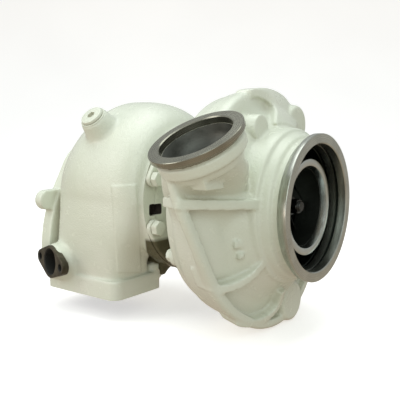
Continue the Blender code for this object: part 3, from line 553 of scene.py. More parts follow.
def raise_patch(ob, corners, height, soft=1.3, where=None):
    """Lifts the part of a skin that falls inside a four-sided patch of the picture, with soft edges."""
    mesh = ob.data
    n = len(mesh.vertices)
    co, no = np.empty(n * 3), np.empty(n * 3)
    mesh.vertices.foreach_get("co", co)
    mesh.vertices.foreach_get("normal", no)
    co, no = co.reshape(-1, 3), no.reshape(-1, 3)
    axis = (co - SHAFT) / MM
    uv = pixels(axis)
    c = np.asarray(corners, float)
    inside = np.full(n, 1e9)
    turn = np.sign((c[1, 0] - c[0, 0]) * (c[2, 1] - c[1, 1]) - (c[1, 1] - c[0, 1]) * (c[2, 0] - c[1, 0]))
    for a, b in zip(c, np.roll(c, -1, axis=0)):
        e = (b - a) / np.linalg.norm(b - a)
        inside = np.minimum(inside, turn * (e[0] * (uv[:, 1] - a[1]) - e[1] * (uv[:, 0] - a[0])))
    t = np.clip(inside / soft + 0.5, 0, 1)
    t = t * t * (3 - 2 * t)
    t[no @ CAM_BACK < 0.15] = 0
    if where is not None:
        t[~where(axis)] = 0
    co += no * (t * height * MM)[:, None]
    mesh.vertices.foreach_set("co", co.ravel())
    mesh.update()


U_X, U_Y, U_Z = np.eye(3)
FINE = 1.6

# ---------------------------------------------------------------- turbine housing

VOLUTE_X = -110.0
VOLUTE = [
    (0, 114, 73, 95, 75, 1.65, 4.2),
    (22, 119.5, 73, 95, 75, 1.52, 3.8),
    (45, 124, 73, 95, 75, 1.44, 3.4),
    (67, 127, 74, 94.5, 75, 1.46, 3.0),
    (90, 129, 75, 94, 75, 1.55, 2.6),
    (135, 126, 75, 92, 74, 1.65, 2.3),
    (180, 116, 70, 90, 70, 1.85, 2.3),
    (225, 106, 64, 88, 64, 2.0, 2.3),
    (270, 96, 58, 86, 58, 2.2, 2.3),
]
DUCT = [
    (-112, -119, 63, 63, 62.5, 43, 43, 6.0, 6.0),
    (-98, -118, 63, 63, 63, 43, 33, 4.0, 5.0),
    (-88, -117.5, 64, 66, 64, 44, 27, 3.4, 4.8),
    (-66, -115.5, 66.5, 72.5, 66.5, 45, 30, 2.7, 4.6),
    (-35, -112, 71, 86, 71, 43, 42, 2.0, 4.4),
    (0, VOLUTE_X, 73, 95, 75, 39, 57, 1.65, 4.2),
]
PLUG_C = np.array((-96.0, -97.0, 104.0))
PLUG_N = np.array((0.0, -0.717, 0.697))
PLUG_N /= np.linalg.norm(PLUG_N)
WATER_C = np.array((-158.0, -124.0, -85.0))
WATER_N = np.array((-0.25, -0.967, 0.05))
WATER_N /= np.linalg.norm(WATER_N)
WATER_U, WATER_V = across(WATER_N, (0.967, -0.25, -0.085))
OUTLET_FACE_X, TURBINE_FACE_X, TURBINE_FACE_R = -203.0, -14.0, 95.5


def volute_section(degrees):
    outer, left, right, rc, pl, pr = smooth_table(VOLUTE, degrees)
    return arch(VOLUTE_X, left, right, rc, outer - rc, rc - 18.0, pl, pr)


volute = loft(
    "volute",
    [level(arch(*smooth_table(DUCT, z)), z) for z in np.arange(-110, -1, 4.0)]
    + [wrapped(volute_section(a), a) for a in np.arange(0, 271, 5.0)],
)
core = lathe("core", [(-201, 68), (-198, 72), (-186, 73), (-170, 72), (-60, 84), (-40, 91), (-34, TURBINE_FACE_R), (TURBINE_FACE_X + 3, TURBINE_FACE_R)])
plug_boss = lathe("plug_boss", [(-55, 33), (-28, 26.5), (-18, 22.8), (-11, 20.6), (-6, 19.4), (-2, 18.7), (0.5, 18.4), (2, 17.8)], 64, PLUG_C, PLUG_N)
water_neck = lathe("water_neck", [(-60, 40), (-32, 33), (-20, 28), (-12, 25), (-5, 24), (-2, 23)], 64, WATER_C, WATER_N)
body = cast("turbine_body", [volute, core, plug_boss, water_neck], 2.0, 14)


def rounded(x0, x1, y0, y1, r, steps=8):
    corners = [(x1 - r, y1 - r, 0), (x0 + r, y1 - r, 90), (x0 + r, y0 + r, 180), (x1 - r, y0 + r, 270)]
    return [(cx + r * math.cos(math.radians(a + 90 * k / steps)), cy + r * math.sin(math.radians(a + 90 * k / steps)))
            for cx, cy, a in corners for k in range(steps + 1)]


flange = plate("flange", rounded(-187, -51, -109, -16, 14), -128, -101, (0, 0, 0), U_X, U_Y, U_Z)
rim = [polar(77.0, a)[1:] for a in range(-180, -239, -6)] + [polar(75.4, a)[1:] for a in range(115, 44, -6)]
rim += [p[0:2] for p in spline([(-54, 53), (-65, 33), (-80, 6), (-94, -26), (-101, -60), (-103, -98)], 18)[1:]]
rim += [(-22, -98), (20, -78), (58, -54)]
end_rim = plate("end_rim", rim, -12.5, 9.0, (-194.2, 0, 0), U_Y, U_Z, U_X)
tab = plate("tab", [(-60, -21), (-60, 9)] + [
    (-98.5 + 13.8 * math.cos(math.radians(a)), -6.5 + 13.8 * math.sin(math.radians(a))) for a in range(80, 281, 10)
], -7.0, 7.0, (-195.0, 0, 0), U_Y, U_Z, U_X)
corner_bosses = [
    lathe("corner_boss", [(-6, 12.3), (12.4, 11.7), (14.6, 9.8)], 40, (x, y, -104.0), U_Z)
    for x, y in ((-61.4, -26.4), (-175, -27))
]
flange_pad = lathe("flange_pad", [(-22, 23.5), (-7, 23)], 48, WATER_C, WATER_N)
lug = plate("joint_lug", [(-34, -50), (-33, -96), (-26, -98.5), (-20, -98), (-16, -96), (-6, -92.7), (0, -90), (30, -88), (50, -50)], -80, -38, (0, 0, 0), U_Y, U_Z, U_X)
lug_foot = plate("joint_lug_foot", [(-34, -80), (-34, -104.2), (-27, -103.8), (-22.5, -99.8), (-16, -96), (-8, -90), (-8, -80)], -43.5, -37.5, (0, 0, 0), U_Y, U_Z, U_X)
casting = cast("turbine_casting", [body, flange, end_rim, tab, flange_pad, lug, lug_foot, *corner_bosses], FINE, 5)
painted(casting, ENAMEL)
# a plain raised panel on the front
raise_patch(casting, [(111.5, 185.5), (136.5, 184.5), (141.0, 272.0), (117.5, 272.5)], 1.1, 1.4, lambda p: p[:, 1] < -50)

gas_bore = lathe("gas_bore", [
    (-209, 62), (-190, 61), (-112, 47.6), (-83.5, 47.6), (-76, 51.2), (-72, 54.5), (-72, 70), (-50, 70), (-50, 57), (-29, 57),
    (-29, 60.3), (-26, 60.3), (-26, 75.3), (-8, 75.3),
], 128, material=GAS_SKIN)
ports = []
for low, high in ((-167, -124), (-114, -71)):
    mid, half = (low + high) / 2, (high - low) / 2
    drift = 6 if low < -119 else -2
    ports.append(loft("port", [
        level(arch(mid, half, half, 63, 29, 29, 6, None, 48), -135),
        level(arch(mid, half, half, 63, 29, 29, 6, None, 48), -112),
        level(arch(mid, half - 1, half - 1, 68, 28, 23, 5, None, 48), -94),
        level(arch(mid + drift / 2, half - 1, half - 1, 69, 27, 23, 4.5, None, 48), -66),
        level(arch(mid + drift, 21, 21, 68, 27, 27, 4, None, 48), -22),
    ], material=GAS_SKIN))
GAS = [
    (-30, -106, 50, 70, 27), (0, -101, 48, 76, 27), (45, -94, 42, 80, 29), (90, -90, 36, 80, 29),
    (135, -87, 32, 77, 26), (180, -83, 27, 74, 23), (225, -79, 23, 71, 19), (270, -76, 18, 68, 15),
]


def gas_section(degrees):
    xc, half, rc, tall = smooth_table(GAS, degrees)
    return arch(xc, half, half, rc, tall, tall, 2.6, None, 40)


volute_gas = loft("volute_gas", [level(gas_section(-30), -34)] + [wrapped(gas_section(a), a) for a in np.arange(0, 271, 9.0)], material=GAS_SKIN)
CLAMP_R = 86.0
CLAMP_ANGLES = [90.0 * k + s * 20.5 for k in range(4) for s in (-1, 1)]
carve(
    casting,
    plate("foot_face", [(-230, -150), (0, -150), (0, 30), (-230, 30)], -140, -125, (0, 0, 0), U_X, U_Y, U_Z, FACE_IRON),
    plate("outlet_face", [(-140, -110), (110, -110), (110, 120), (-140, 120)], -30, OUTLET_FACE_X + 194.2, (-194.2, 0, 0), U_Y, U_Z, U_X, FACE_IRON),
    lathe("joint_face", [(TURBINE_FACE_X, 112), (TURBINE_FACE_X, 40), (2, 40), (2, 112)], 96, ring=True, material=ENAMEL),
    gas_bore, *ports, volute_gas,
    lathe("water_bore", [(8, 17.0), (-34, 17.0)], 64, WATER_C, WATER_N, material=AIR_SKIN),
    lathe("plug_hole", [(6, 13), (-14, 13)], 40, PLUG_C, PLUG_N, material=ENAMEL),
    plate("slot", rounded(-85, -64, -15.5, -1.2, 3.0), -27, -8, (0, 0, 0), U_Y, U_Z, U_X, GAS_SKIN),
)
for x in (-175, -64):
    for y in (-98, -29):
        carve(casting, lathe("foot_hole", [(-135, 6.0), (-106, 6.0), (-103, 0.5)], 32, (x, y, 0), U_Z, material=FACE_IRON))
done(casting, "turbine_casting", "housing", ["turbine_housing"])


def diamond(half, end_r, mid_r, steps=12):
    lean = math.degrees(math.asin((mid_r - end_r) / half))
    out = []
    for cx, r, a0, a1 in ((half, end_r, -90 + lean, 90 - lean), (0, mid_r, 90 - lean, 90 + lean),
                          (-half, end_r, 90 + lean, 270 - lean), (0, mid_r, 270 - lean, 270 + lean)):
        out += [(cx + r * math.cos(math.radians(a0 + (a1 - a0) * k / steps)),
                 r * math.sin(math.radians(a0 + (a1 - a0) * k / steps))) for k in range(steps + 1)]
    return out


# the bare two-bolt water flange, with its bored face
ring_big, ring_small = np.array(diamond(31.0, 9.5, 22.0)), np.array(diamond(31.0, 8.8, 21.3))
water = loft("water_flange", [
    WATER_C + np.outer(o[:, 0], WATER_U) + np.outer(o[:, 1], WATER_V) + WATER_N * h
    for o, h in ((ring_small, -9.0), (ring_big, -8.3), (ring_big, -0.7), (ring_small, 0.0))
], material=IRON)
carve(
    water,
    lathe("bore", [(4, 18.2), (0.0, 18.2), (-1.2, 17.0), (-14, 17.0)], 72, WATER_C, WATER_N, material=AIR_SKIN),
    *[lathe("hole", [(4, 5.3), (0.0, 5.3), (-0.8, 4.5), (-14, 4.5)], 32, WATER_C + WATER_U * 31 * s, WATER_N, material=AIR_SKIN) for s in (-1, 1)],
)
done(water, "water_flange_plate", "housing")

# plug and its washer
done(painted(lathe("washer", [(0.3, 12.7), (0.3, 16.6), (0.7, 17.0), (1.7, 17.0), (2.1, 16.6), (2.1, 12.7)], 72, PLUG_C, PLUG_N, ring=True), ENAMEL),
     "plug_seal_washer", "housing", ["plug_washer"])
plug = painted(lathe("plug", [(-13, 11.6), (2.4, 11.6), (2.4, 14.2), (2.8, 14.6), (5.2, 14.6), (6.0, 14.1), (6.3, 13.2)], 72, PLUG_C, PLUG_N), ENAMEL)
carve(plug, lathe("socket", [(9, 5.6), (2.5, 5.6), (1.0, 0.3)], 6, PLUG_C, PLUG_N, material=ENAMEL))
done(plug, "plug_with_socket", "housing", ["turbine_housing_plug"])

# ---------------------------------------------------------------- centre housing, clamps

bearing = cast("bearing", [
    lathe("barrel", [(-38, 38), (-36, 40), (-27, 44), (-25.7, 44), (-25.7, 75), (-13.7, 75), (-13.7, 52), (6, 49), (26, 76), (28, 82), (41, 82)], 96),
    plate("drain_neck", rounded(9, 35, -23, 23, 8), -86, -30, (0, 0, 0), U_X, U_Y, U_Z),
    plate("drain_pad", rounded(8.5, 37.5, -31, 31, 9), -90, -76, (0, 0, 0), U_X, U_Y, U_Z),
    plate("oil_pad", rounded(9, 37, -21, 21, 7), 30, 64, (0, 0, 0), U_X, U_Y, U_Z),
], FINE, 5)
painted(bearing, ENAMEL)
carve(
    bearing,
    plate("drain_face", [(-20, -60), (60, -60), (60, 60), (-20, 60)], -100, -88, (0, 0, 0), U_X, U_Y, U_Z, FACE_IRON),
    plate("feed_face", [(-20, -40), (60, -40), (60, 40), (-20, 40)], 62, 80, (0, 0, 0), U_X, U_Y, U_Z, FACE_IRON),
    plate("drain_slot", rounded(13, 31, -14, 14, 5), -95, -28, (0, 0, 0), U_X, U_Y, U_Z, GAS_SKIN),
    lathe("bearing_bore", [(45, 34.3), (34.3, 34.3), (34.3, 22), (31.4, 22), (31.4, 12.2), (-13.5, 12.2), (-13.5, 22), (-26, 22), (-26, 15.4), (-44, 15.4)], 72, material=FACE_IRON),
    lathe("feed", [(70, 6.0), (36, 6.0)], 40, (22, 0, 0), U_Z, material=GAS_SKIN),
    *[lathe("pad_hole", [(70, 3.6), (46, 3.6)], 24, (23, s * 14.5, 0), U_Z, material=GAS_SKIN) for s in (-1, 1)],
    *[lathe("drain_hole", [(-95, 3.6), (-74, 3.6)], 24, (23, s * 23.5, 0), U_Z, material=GAS_SKIN) for s in (-1, 1)],
    plate("notch", rounded(-80, -62, -15.0, -1.7, 2.6), -30, -8, (0, 0, 0), U_Y, U_Z, U_X, GAS_SKIN),
)
done(bearing, "bearing_casting", "housing", ["bearing_housing"])

PLATE_X, PLATE_T = TURBINE_FACE_X + 0.6, 5.8
for index, middle in enumerate((45.0, 135.0, 225.0, 315.0)):
    reach = 45.0 - 20.5

    def clamp_outline(inset):
        def around(centre, start, stop):
            return [centre + polar(10.3 - inset, start + (stop - start) * k / 14) for k in range(15)]

        first, second = polar(CLAMP_R, middle - reach), polar(CLAMP_R, middle + reach)
        loop = around(first, middle - reach - 150, middle - reach)
        loop += [polar(94.5 - inset, middle + d) for d in np.linspace(-15, 15, 11)]
        loop += around(second, middle + reach, middle + reach + 150)
        loop += [polar(67.0 + inset, middle + d) for d in np.linspace(22, -22, 13)]
        return np.array(loop)

    rings = [clamp_outline(i) + U_X * (PLATE_X + h) for h, i in (
        (0.0, 0.4), (0.4, 0.0), (PLATE_T - 1.6, 0.0), (PLATE_T - 0.7, 0.3), (PLATE_T - 0.15, 0.9), (PLATE_T, 1.6))]
    done(painted(loft("clamp", rings), ENAMEL), "clamp_plate_%d" % (index + 1), "housing", ["turbine_clamp_plate_%d" % (index + 1)])


def hex_bolt(name, seat, direction, flats, head, shank_r, length, material, turn=0.0):
    """A hexagon bolt with a washer face and a domed, chamfered head."""
    seat, direction = np.asarray(seat, float), np.asarray(direction, float)
    u, v = across(direction)
    corner = flats / math.sqrt(3)

    def hexagon(h, r, trim=1e9):
        ring = []
        for k in range(48):
            t = 2 * math.pi * k / 48
            q = (t + turn) % (math.pi / 3) - math.pi / 6
            rr = min(r * math.cos(math.pi / 6) / math.cos(q), trim)
            ring.append(seat + direction * h + (u * math.cos(t) + v * math.sin(t)) * rr)
        return np.array(ring)

    f = flats / 2
    rings = [hexagon(0.0, 1e3, f * 0.98), hexagon(0.7, 1e3, f * 0.98), hexagon(0.71, corner, corner * 0.985), hexagon(1.4, corner),
             hexagon(head - 1.5, corner), hexagon(head - 0.8, corner, f * 1.10), hexagon(head - 0.15, corner, f * 0.985), hexagon(head, corner, f * 0.90)]
    shank = lathe("shank", [(-length, shank_r - 0.6), (-length + 0.8, shank_r), (0.5, shank_r)], 24, seat, direction)
    return painted(gathered(name, [loft("head", rings), shank]), material)


for k, a in enumerate(CLAMP_ANGLES):
    bolt = hex_bolt("bolt", polar(CLAMP_R, a, PLATE_X + PLATE_T + 0.1), U_X, 17.0, 8.6, 4.9, 25.0, ENAMEL, 0.35 + 0.7 * k)
    done(bolt, "clamp_bolt_%d" % (k + 1), "housing", ["turbine_clamp_bolt_%d" % (k + 1)], 28.0)

# ---------------------------------------------------------------- compressor backplate

COVER_BOLT_R = 117.0
COVER_BOLT_ANGLES = [-27.5 + 72.0 * k for k in range(5)]
back = cast("backplate", [
    lathe("disc", [(40.3, 110), (44, 116), (51, 118), (51, 97), (74, 97)], 128),
    *[lathe("ear", [(41.3, 10.4), (42.2, 11.2), (51, 11.6)], 40, polar(COVER_BOLT_R, a), U_X) for a in COVER_BOLT_ANGLES],
], FINE, 4)
painted(back, ENAMEL)
carve(
    back,
    lathe("joint", [(50.0, 125), (50.0, 97), (72, 97), (72, 20), (80, 20), (80, 125)], 128, ring=True, material=FACE_IRON),
    lathe("bore", [(30, 36.3), (85, 36.3)], 96, material=FACE_IRON),
    lathe("dish", [(66.5, 58.5), (85, 58.5)], 96, material=FACE_IRON),
    lathe("centre_face", [(20, 83), (40.3, 83)], 96, material=FACE_IRON),
)
done(back, "backplate_casting", "housing", ["compressor_backplate"])
for k, a in enumerate(COVER_BOLT_ANGLES):
    bolt = hex_bolt("bolt", polar(COVER_BOLT_R, a, 41.0), -U_X, 14.0, 7.2, 5.0, 23.0, ENAMEL, 0.2 + 0.5 * k)
    done(bolt, "cover_bolt_%d" % (k + 1), "housing", ["compressor_bolt_%d" % (k + 1)], 28.0)

# ---------------------------------------------------------------- compressor housing

RIM = [
    (-180, 146, 103), (-150, 148, 106), (-120, 151, 110), (-100, 152, 112), (-80, 149.5, 111.5), (-60, 147, 111), (-45, 149, 111),
    (-30, 151, 110.5), (-15, 150, 109), (0, 147, 107), (20, 143, 102), (45, 138, 96), (70, 138.5, 92), (90, 139.5, 92), (120, 141, 96), (150, 144, 100), (180, 146, 103),
]


def rim_at(degrees):
    return smooth_table(RIM, degrees, 360.0)


def cover_section(degrees):
    r, x = rim_at(degrees)
    # the front is sunk between the bead and the neck, except over the top
    d = smooth_table([(-180, 1), (-60, 1), (5, 1), (40, 0), (85, 0), (128, 0), (152, 1), (180, 1)], degrees, 360.0)[0]
    outline = [
        (48, 62), (48, 127), (51, 130.5), (58, 131.2), (70, 131 + 0.48 * (r - 131)), (x - 14, r - 2.9), (x - 7, r - 1.6), (x + 2 - 5 * d, r - 4 + 1 * (1 - d)),
        (x + 4 - 8.5 * d, r - 12), (x + 5 - 7.5 * d, r - 19), (x + 8 - 6 * d, r - 29), (x + 14 - 4 * d, 107), (x + 20 - 2 * d, 98), (x + 25, 91), (x + 27, 80), (x + 28, 62),
    ]
    return np.array(outline)


cover = loft("cover", [wrapped(cover_section(a), a) for a in np.arange(-180, 180, 4.0)], closed=True)
flare = lathe("flare", [(98, 96), (112, 95), (126, 92.5), (137, 89.5), (139, 86), (150, 80), (150, 60)], 128)

# the discharge pipe swells out of the scroll as a broad flattened body and turns round towards its lip
PIPE = [
    # z, centre x, centre y, half along the face, half through it, lean of the face in degrees, roundness
    (-84, 95, -82, 30, 16, 21, 0.75),
    (-45, 92.5, -97, 37, 23, 21.5, 0.62),
    (-10, 90.5, -102, 40, 26.5, 21.5, 0.58),
    (8, 91, -108.5, 42, 28, 21, 0.56),
    (22, 97, -120.5, 44.5, 25.5, 20, 0.56),
    (32, 102.5, -127.5, 46, 28.0, 17, 0.62),
    (46, 109.5, -137, 47.5, 37, 8, 0.86),
    (60, 113.5, -145.5, 48, 41, 0, 0.95),
]
sections = []
for z in np.linspace(-84, 60, 30):
    cx, cy, along, through, lean, round_off = smooth_table(PIPE, z)
    t = 2 * np.pi * np.arange(56) / 56
    tx, ty = math.sin(math.radians(lean)), math.cos(math.radians(lean))
    c, s = (np.sign(f) * np.abs(f) ** round_off for f in (np.cos(t), np.sin(t)))
    sections.append(np.stack([cx + along * c * tx + through * s * ty, cy + along * c * ty - through * s * tx, np.full(56, z)], axis=1))
pipe_body = loft("pipe_body", sections)
pipe_top = lathe("pipe_top", [(-34, 39), (-26, 41.5), (-12, 42.5)], 64, DISCHARGE_C, DISCHARGE_N)
BEAD_TOP = [(98.5, -182, 42), (104, -175.5, 12), (108, -164.3, -15), (110.5, -149.4, -44.5)]
inward = np.array((0, 0.9, 0.43))
bead_floor = loft("bead_floor", [
    np.array([p - U_X * 6.0 + inward * 2.5, p - U_X * 6.5 + inward * 12 + np.array((12.0, 33.0, 0.0)), p + np.array((-8.0, 48.0, 4.0)), p + np.array((-24.0, 30.0, 4.0))])
    for p in np.array(spline([*BEAD_TOP, (111.0, -134.0, -72.0)], 24))
])
shell = cast("compressor_body", [cover, flare, pipe_body, pipe_top, bead_floor], 2.0, 18)

# the raised bead: round the rim, then straight up the pipe
bead_path = [np.array(p, float) for p in BEAD_TOP]
bead_path += [polar(rim_at(a)[0] - 0.3, a, rim_at(a)[1]) for a in np.arange(-29, -217, -4.0)]
bead_path = np.array(spline(bead_path, 260))
bead = []
tangent = np.gradient(bead_path, axis=0)
for p, t in zip(bead_path, tangent):
    t = t / np.linalg.norm(t)
    out = np.array((0.0, p[1], p[2]))
    out -= t * (out @ t)
    out /= np.linalg.norm(out)
    side = np.cross(t, out)
    side *= -np.sign(side[0])
    wide = 15.0 if p[1] > -60 else float(np.interp(p[2], (-75, -30), (15.0, 7.5)))
    bead.append(np.stack([p + out * a + side * b for a, b in ((-2.0, -5.4), (0.5, -3.2), (1.1, 0.0), (0.4, 3.6), (-3.2 - (15 - wide) * 0.3, wide), (-12, wide), (-10, -5.4))]))
bead = loft("bead", bead)
def hook(degrees):
    """The crest of a rib that leaves the rim at an angle and curls in to the neck."""
    x = rim_at(degrees)[1]
    return [polar(r, degrees - turn, x + up) for r, turn, up in (
        (147, -2, 2.5), (136, 3.5, 8), (122, 6.5, 14), (107, 8.5, 21), (94, 7.5, 27))]


TOP_RIB = [(97, -32, 130), (100, -21.5, 131.8), (103.4, -2.5, 127.2), (107.4, 6.6, 119.7), (112.8, 4.5, 110), (118.5, -6.2, 99.5), (122, -12, 93)]
FLOOR_ALONG, FLOOR_OUT = np.array((0.378, 0.926, 0.0)), np.array((0.926, -0.378, 0.0))


def floor_pad(middle, half_long, tall, proud):
    c = np.asarray(middle, float) + FLOOR_OUT * proud
    return beam("pad", [c - FLOOR_ALONG * half_long, c + FLOOR_ALONG * half_long], tall, -FLOOR_OUT * 14, U_Z)


ribs = [
    # level front rib with its lug beyond the bead
    beam("rib", spline([(98, -176, 17), (108, -177, 17), (120, -152, 15), (131, -121, 12.5), (143, -84, 10.3)], 24), 10.5, (-26, 9, 0), U_Z),
    beam("rib", spline([(105.6, -168.0, 22.6), (114.4, -149.7, 21.2), (125.4, -118.7, 18.7), (137.4, -81.7, 16.5)], 24), 8.0, (-26, 9, 0), U_Z),
    beam("lug", [(64, -147, 14), (86, -166, 15.5), (104, -177, 17)], 8.5, (10, 26, 0), U_Z),
    ridge("rib", [(113.5, -129, -73.5), (115.6, -124.9, -76.8), (120, -112, -78.1), (126.1, -96.5, -75.9), (133, -81.5, -69.4), (138.6, -73.1, -59.7), (141, -70, -54)], 9.5, (-24, 4, 2)),
    ridge("rib", [(113, -82, -119.5), (114.8, -74.5, -127.4), (117.4, -47.7, -134.2), (120.7, -22.5, -132.9), (126.2, -8.8, -122.1), (131.6, -11.2, -109.5), (136, -16, -100)], 9.5, (-22, 0, 6)),
    ridge("rib", hook(-135), 9.5, (-24, 0, 0)),
    ridge("rib", hook(-178), 9.5, (-24, 0, 0)),
    ridge("rib", hook(150), 9.5, (-24, 0, 0)),
    *[ridge("rib", TOP_RIB, 9.5, (-20, 0, 0), 22, a) for a in np.arange(0, 28.6, 1.4)],
    lathe("lobe", [(84, 27), (106, 25), (110.5, 23.6), (112, 21.5)], 56, polar(112.0, 121.0), U_X),
    lathe("lobe", [(90, 27), (115, 26), (119.5, 24.6), (121, 22)], 56, polar(132.0, -106.0), U_X),
    lathe("boss", [(80, 16.4), (104, 15.9), (118.6, 15.5), (119.6, 15.0), (120, 14.0)], 56, (0, -45.4, 90.5), U_X),
    beam("pad", [(127.4, -177.6, 44.2), (126.9, -170.4, 30.7)], 17.0, (0, 30, 0), U_X),
    floor_pad((122.5, -97.0, -32.6), 5.5, 8.0, 3.0),
    floor_pad((124.0, -94.0, -45.2), 3.6, 6.0, 3.0),
    ridge("pad", [polar(149.0, -21.5, 95.0), polar(149.4, -26.0, 96.5), polar(149.8, -30.5, 98.0)], 11.0, (0, 14, 7), 8),
]
collar = lathe("collar", [(-30, 38), (-24.5, 41.0), (-23.5, 45.4), (-22, 46.4), (-13, 46.8), (-11.6, 46.4), (-11.0, 43.6), (-6, 43.4)], 96, DISCHARGE_C, DISCHARGE_N)
neck = lathe("neck", [(120, 80), (120, 93), (136, 91.4), (139.4, 90.4), (140.4, 89.4), (141.0, 86.4), (150.6, 83.0), (151.8, 81.6), (152.4, 79.0), (164, 78.8), (164, 60)], 160)
shell = cast("compressor_casting", [shell, bead, collar, neck, *ribs], FINE, 3)
painted(shell, ENAMEL)


def scroll_section(degrees):
    t = (degrees - 50.0) / 295.0
    half_x, half_r = 9.0 + 9.0 * t, 8.5 + 10.0 * t
    return arch(72.8 + half_x, half_x, half_x, 94.5 + half_r, half_r, half_r, 2.6, None, 32)


scroll = loft("scroll", [wrapped(scroll_section(a), a) for a in np.linspace(50, 345, 60)], material=AIR_SKIN)
pipe_line = spline([
    (91, -96, -56, 16.0), (90.5, -99, -30, 16.0), (91, -106, -8, 15.5), (99, -121, 22, 15.0), (109, -132, 40, 18.0),
    *[(*(DISCHARGE_C - DISCHARGE_N * h), r) for h, r in ((33, 24.5), (20, 35.4), (10, 37.8), (-3, 38.6))],
], 30)
pipe_bore = tube("pipe_bore", [(p[:3], p[3]) for p in pipe_line], 64)
pipe_bore.data.materials.append(MOUTH_BORE)
carve(
    shell,
    lathe("back_face", [(20, 150), (50.3, 150)], 96, material=FACE_IRON),
    lathe("inlet_bore", [
        (180, 74.4), (115, 74.4), (115, 45.7), (104, 45.9), (94, 48.3), (86, 52.3), (81, 57.6), (79.5, 60.5), (79.5, 99.5), (72.3, 99.5), (72.3, 97.5), (30, 97.5),
    ], 128, material=BORE_METAL),
    scroll,
    pipe_bore,
    lathe("mouth_trim", [(-7.5, 60), (-7.5, 30), (30, 30), (30, 60)], 96, DISCHARGE_C, DISCHARGE_N, ring=True, material=ENAMEL),
)
done(shell, "compressor_casting", "housing", ["compressor_housing"])

# machined inlet lip with its bore, groove and seat
done(lathe("inlet_lip", [
    (172.3, 74.6), (172.3, 84.5), (171.8, 85.0), (166.0, 85.0), (165.3, 84.6), (161.5, 79.6), (158.0, 78.6), (150.0, 78.4),
    (150.0, 73.5), (158.2, 73.5), (158.6, 75.6), (161.6, 75.6), (162.0, 73.5), (171.2, 73.5),
], 200, ring=True, material=LIP_STEEL), "inlet_lip_ring", "housing")
done(lathe("bore_liner", [
    (150.2, 73.9), (150.2, 73.5), (147.5, 73.5), (147.2, 72.7), (128.0, 72.7), (127.4, 71.4), (115.6, 71.4), (115.2, 70.5), (115.2, 46.5), (114.6, 46.5), (114.6, 73.9),
], 160, ring=True, material=BORE_METAL), "inlet_bore_liner", "housing")
# discharge lip
done(lathe("mouth_lip", [
    (0.0, 39.6), (0.0, 49.5), (-0.5, 50.0), (-5.4, 50.0), (-6.0, 49.6), (-8.6, 44.6), (-10.5, 44.0), (-20, 43.6), (-20, 37.6), (-4.0, 38.5), (-1.0, 38.6),
], 160, DISCHARGE_C, DISCHARGE_N, ring=True, material=MOUTH_STEEL), "discharge_lip_ring", "housing")

# inlet shroud ring on its struts
shroud = lathe("shroud", [
    (118.5, 46.4), (118.5, 54.2), (119.3, 55.4), (121, 56.0), (156.9, 56.0), (157.5, 55.6), (157.7, 55.0), (157.7, 48.6), (157.3, 48.0), (151.0, 46.2), (149.0, 46.0), (121.0, 46.0),
], 160, ring=True, material=RING_ALLOY)
struts = []
for a in (60, 180, 300):
    d = polar(1.0, a)
    side = np.cross(U_X, d)
    struts.append(loft("strut", [
        np.array([d * r + U_X * (127 + 8.0 * math.cos(t)) + side * (2.4 * math.sin(t)) for t in np.linspace(0, 2 * math.pi, 24, endpoint=False)]) for r in (54.8, 64.0, 72.4)
    ], material=RING_ALLOY))
eye = lathe("eye", [(119.0, 45.95), (150.0, 45.95), (150.0, 46.6), (119.0, 46.6)], 160, ring=True, material=EYE_METAL)
shroud = gathered("shroud", [shroud, *struts, eye])
shroud.data.materials.append(RING_ALLOY)
shroud.data.materials.append(EYE_METAL)
sleeve = len(shroud.data.polygons) - 4 * 160
for index, face in enumerate(shroud.data.polygons):
    face.material_index = 1 if index >= sleeve else 0
done(shroud, "inlet_shroud", "housing", ["inlet_shroud_ring"])

# ---------------------------------------------------------------- rotor


def vane(name, hub, tip, wrap, start, thick_root, thick_tip, span=9, chord=26):
    """One blade: a thin twisted sheet with round edges between a hub line and a tip line of (x, r)."""
    hub, tip, wrap = np.array(spline(hub, chord)), np.array(spline(tip, chord)), np.array(spline([(w,) for w in wrap], chord))[:, 0]
    rings = []
    for s in np.linspace(-0.06, 1.0, span):
        x, r = hub[:, 0] + (tip[:, 0] - hub[:, 0]) * s, hub[:, 1] + (tip[:, 1] - hub[:, 1]) * s
        thick = thick_root + (thick_tip - thick_root) * max(s, 0)
        side = np.ones(chord)
        side[0] = side[-1] = 0.25
        t = np.radians(start + wrap)
        ring = []
        for sign, order in ((-1, range(chord)), (1, range(chord - 1, -1, -1))):
            for i in order:
                h = sign * thick / 2 * side[i]
                ring.append((x[i], r[i] * math.cos(t[i]) - h * math.sin(t[i]), r[i] * math.sin(t[i]) + h * math.cos(t[i])))
        rings.append(np.array(ring))
    return loft(name, rings)


wheel_hub = [(128, 13.9), (115, 16.2), (103, 20.5), (92, 27.6), (81, 39.6), (72.8, 55.8)]
wheel_tip = [(127, 44.6), (115, 44.7), (104, 44.9), (94, 47.2), (86, 51.0), (79.0, 56.8)]
turn = (0, 24, 38, 48, 56, 64)
wheel = gathered("wheel", [
    lathe("hub", [(133, 6.8), (133, 11.6), (132.4, 12.4), (122, 14.5), (110, 17.5), (98, 23), (88, 31), (80, 41), (75, 50), (72.4, 57), (69.8, 57), (68, 25), (67.7, 6.8)], 96, ring=True),
    *[vane("vane", wheel_hub, wheel_tip, turn, 360.0 / 7 * k, 2.0, 1.0) for k in range(7)],
    *[vane("vane", wheel_hub[2:], wheel_tip[2:], turn[2:], 360.0 / 7 * (k + 0.5), 2.0, 1.0) for k in range(7)],
])
done(painted(wheel, IMPELLER), "compressor_impeller", "rotor", ["compressor_wheel"], 40.0)

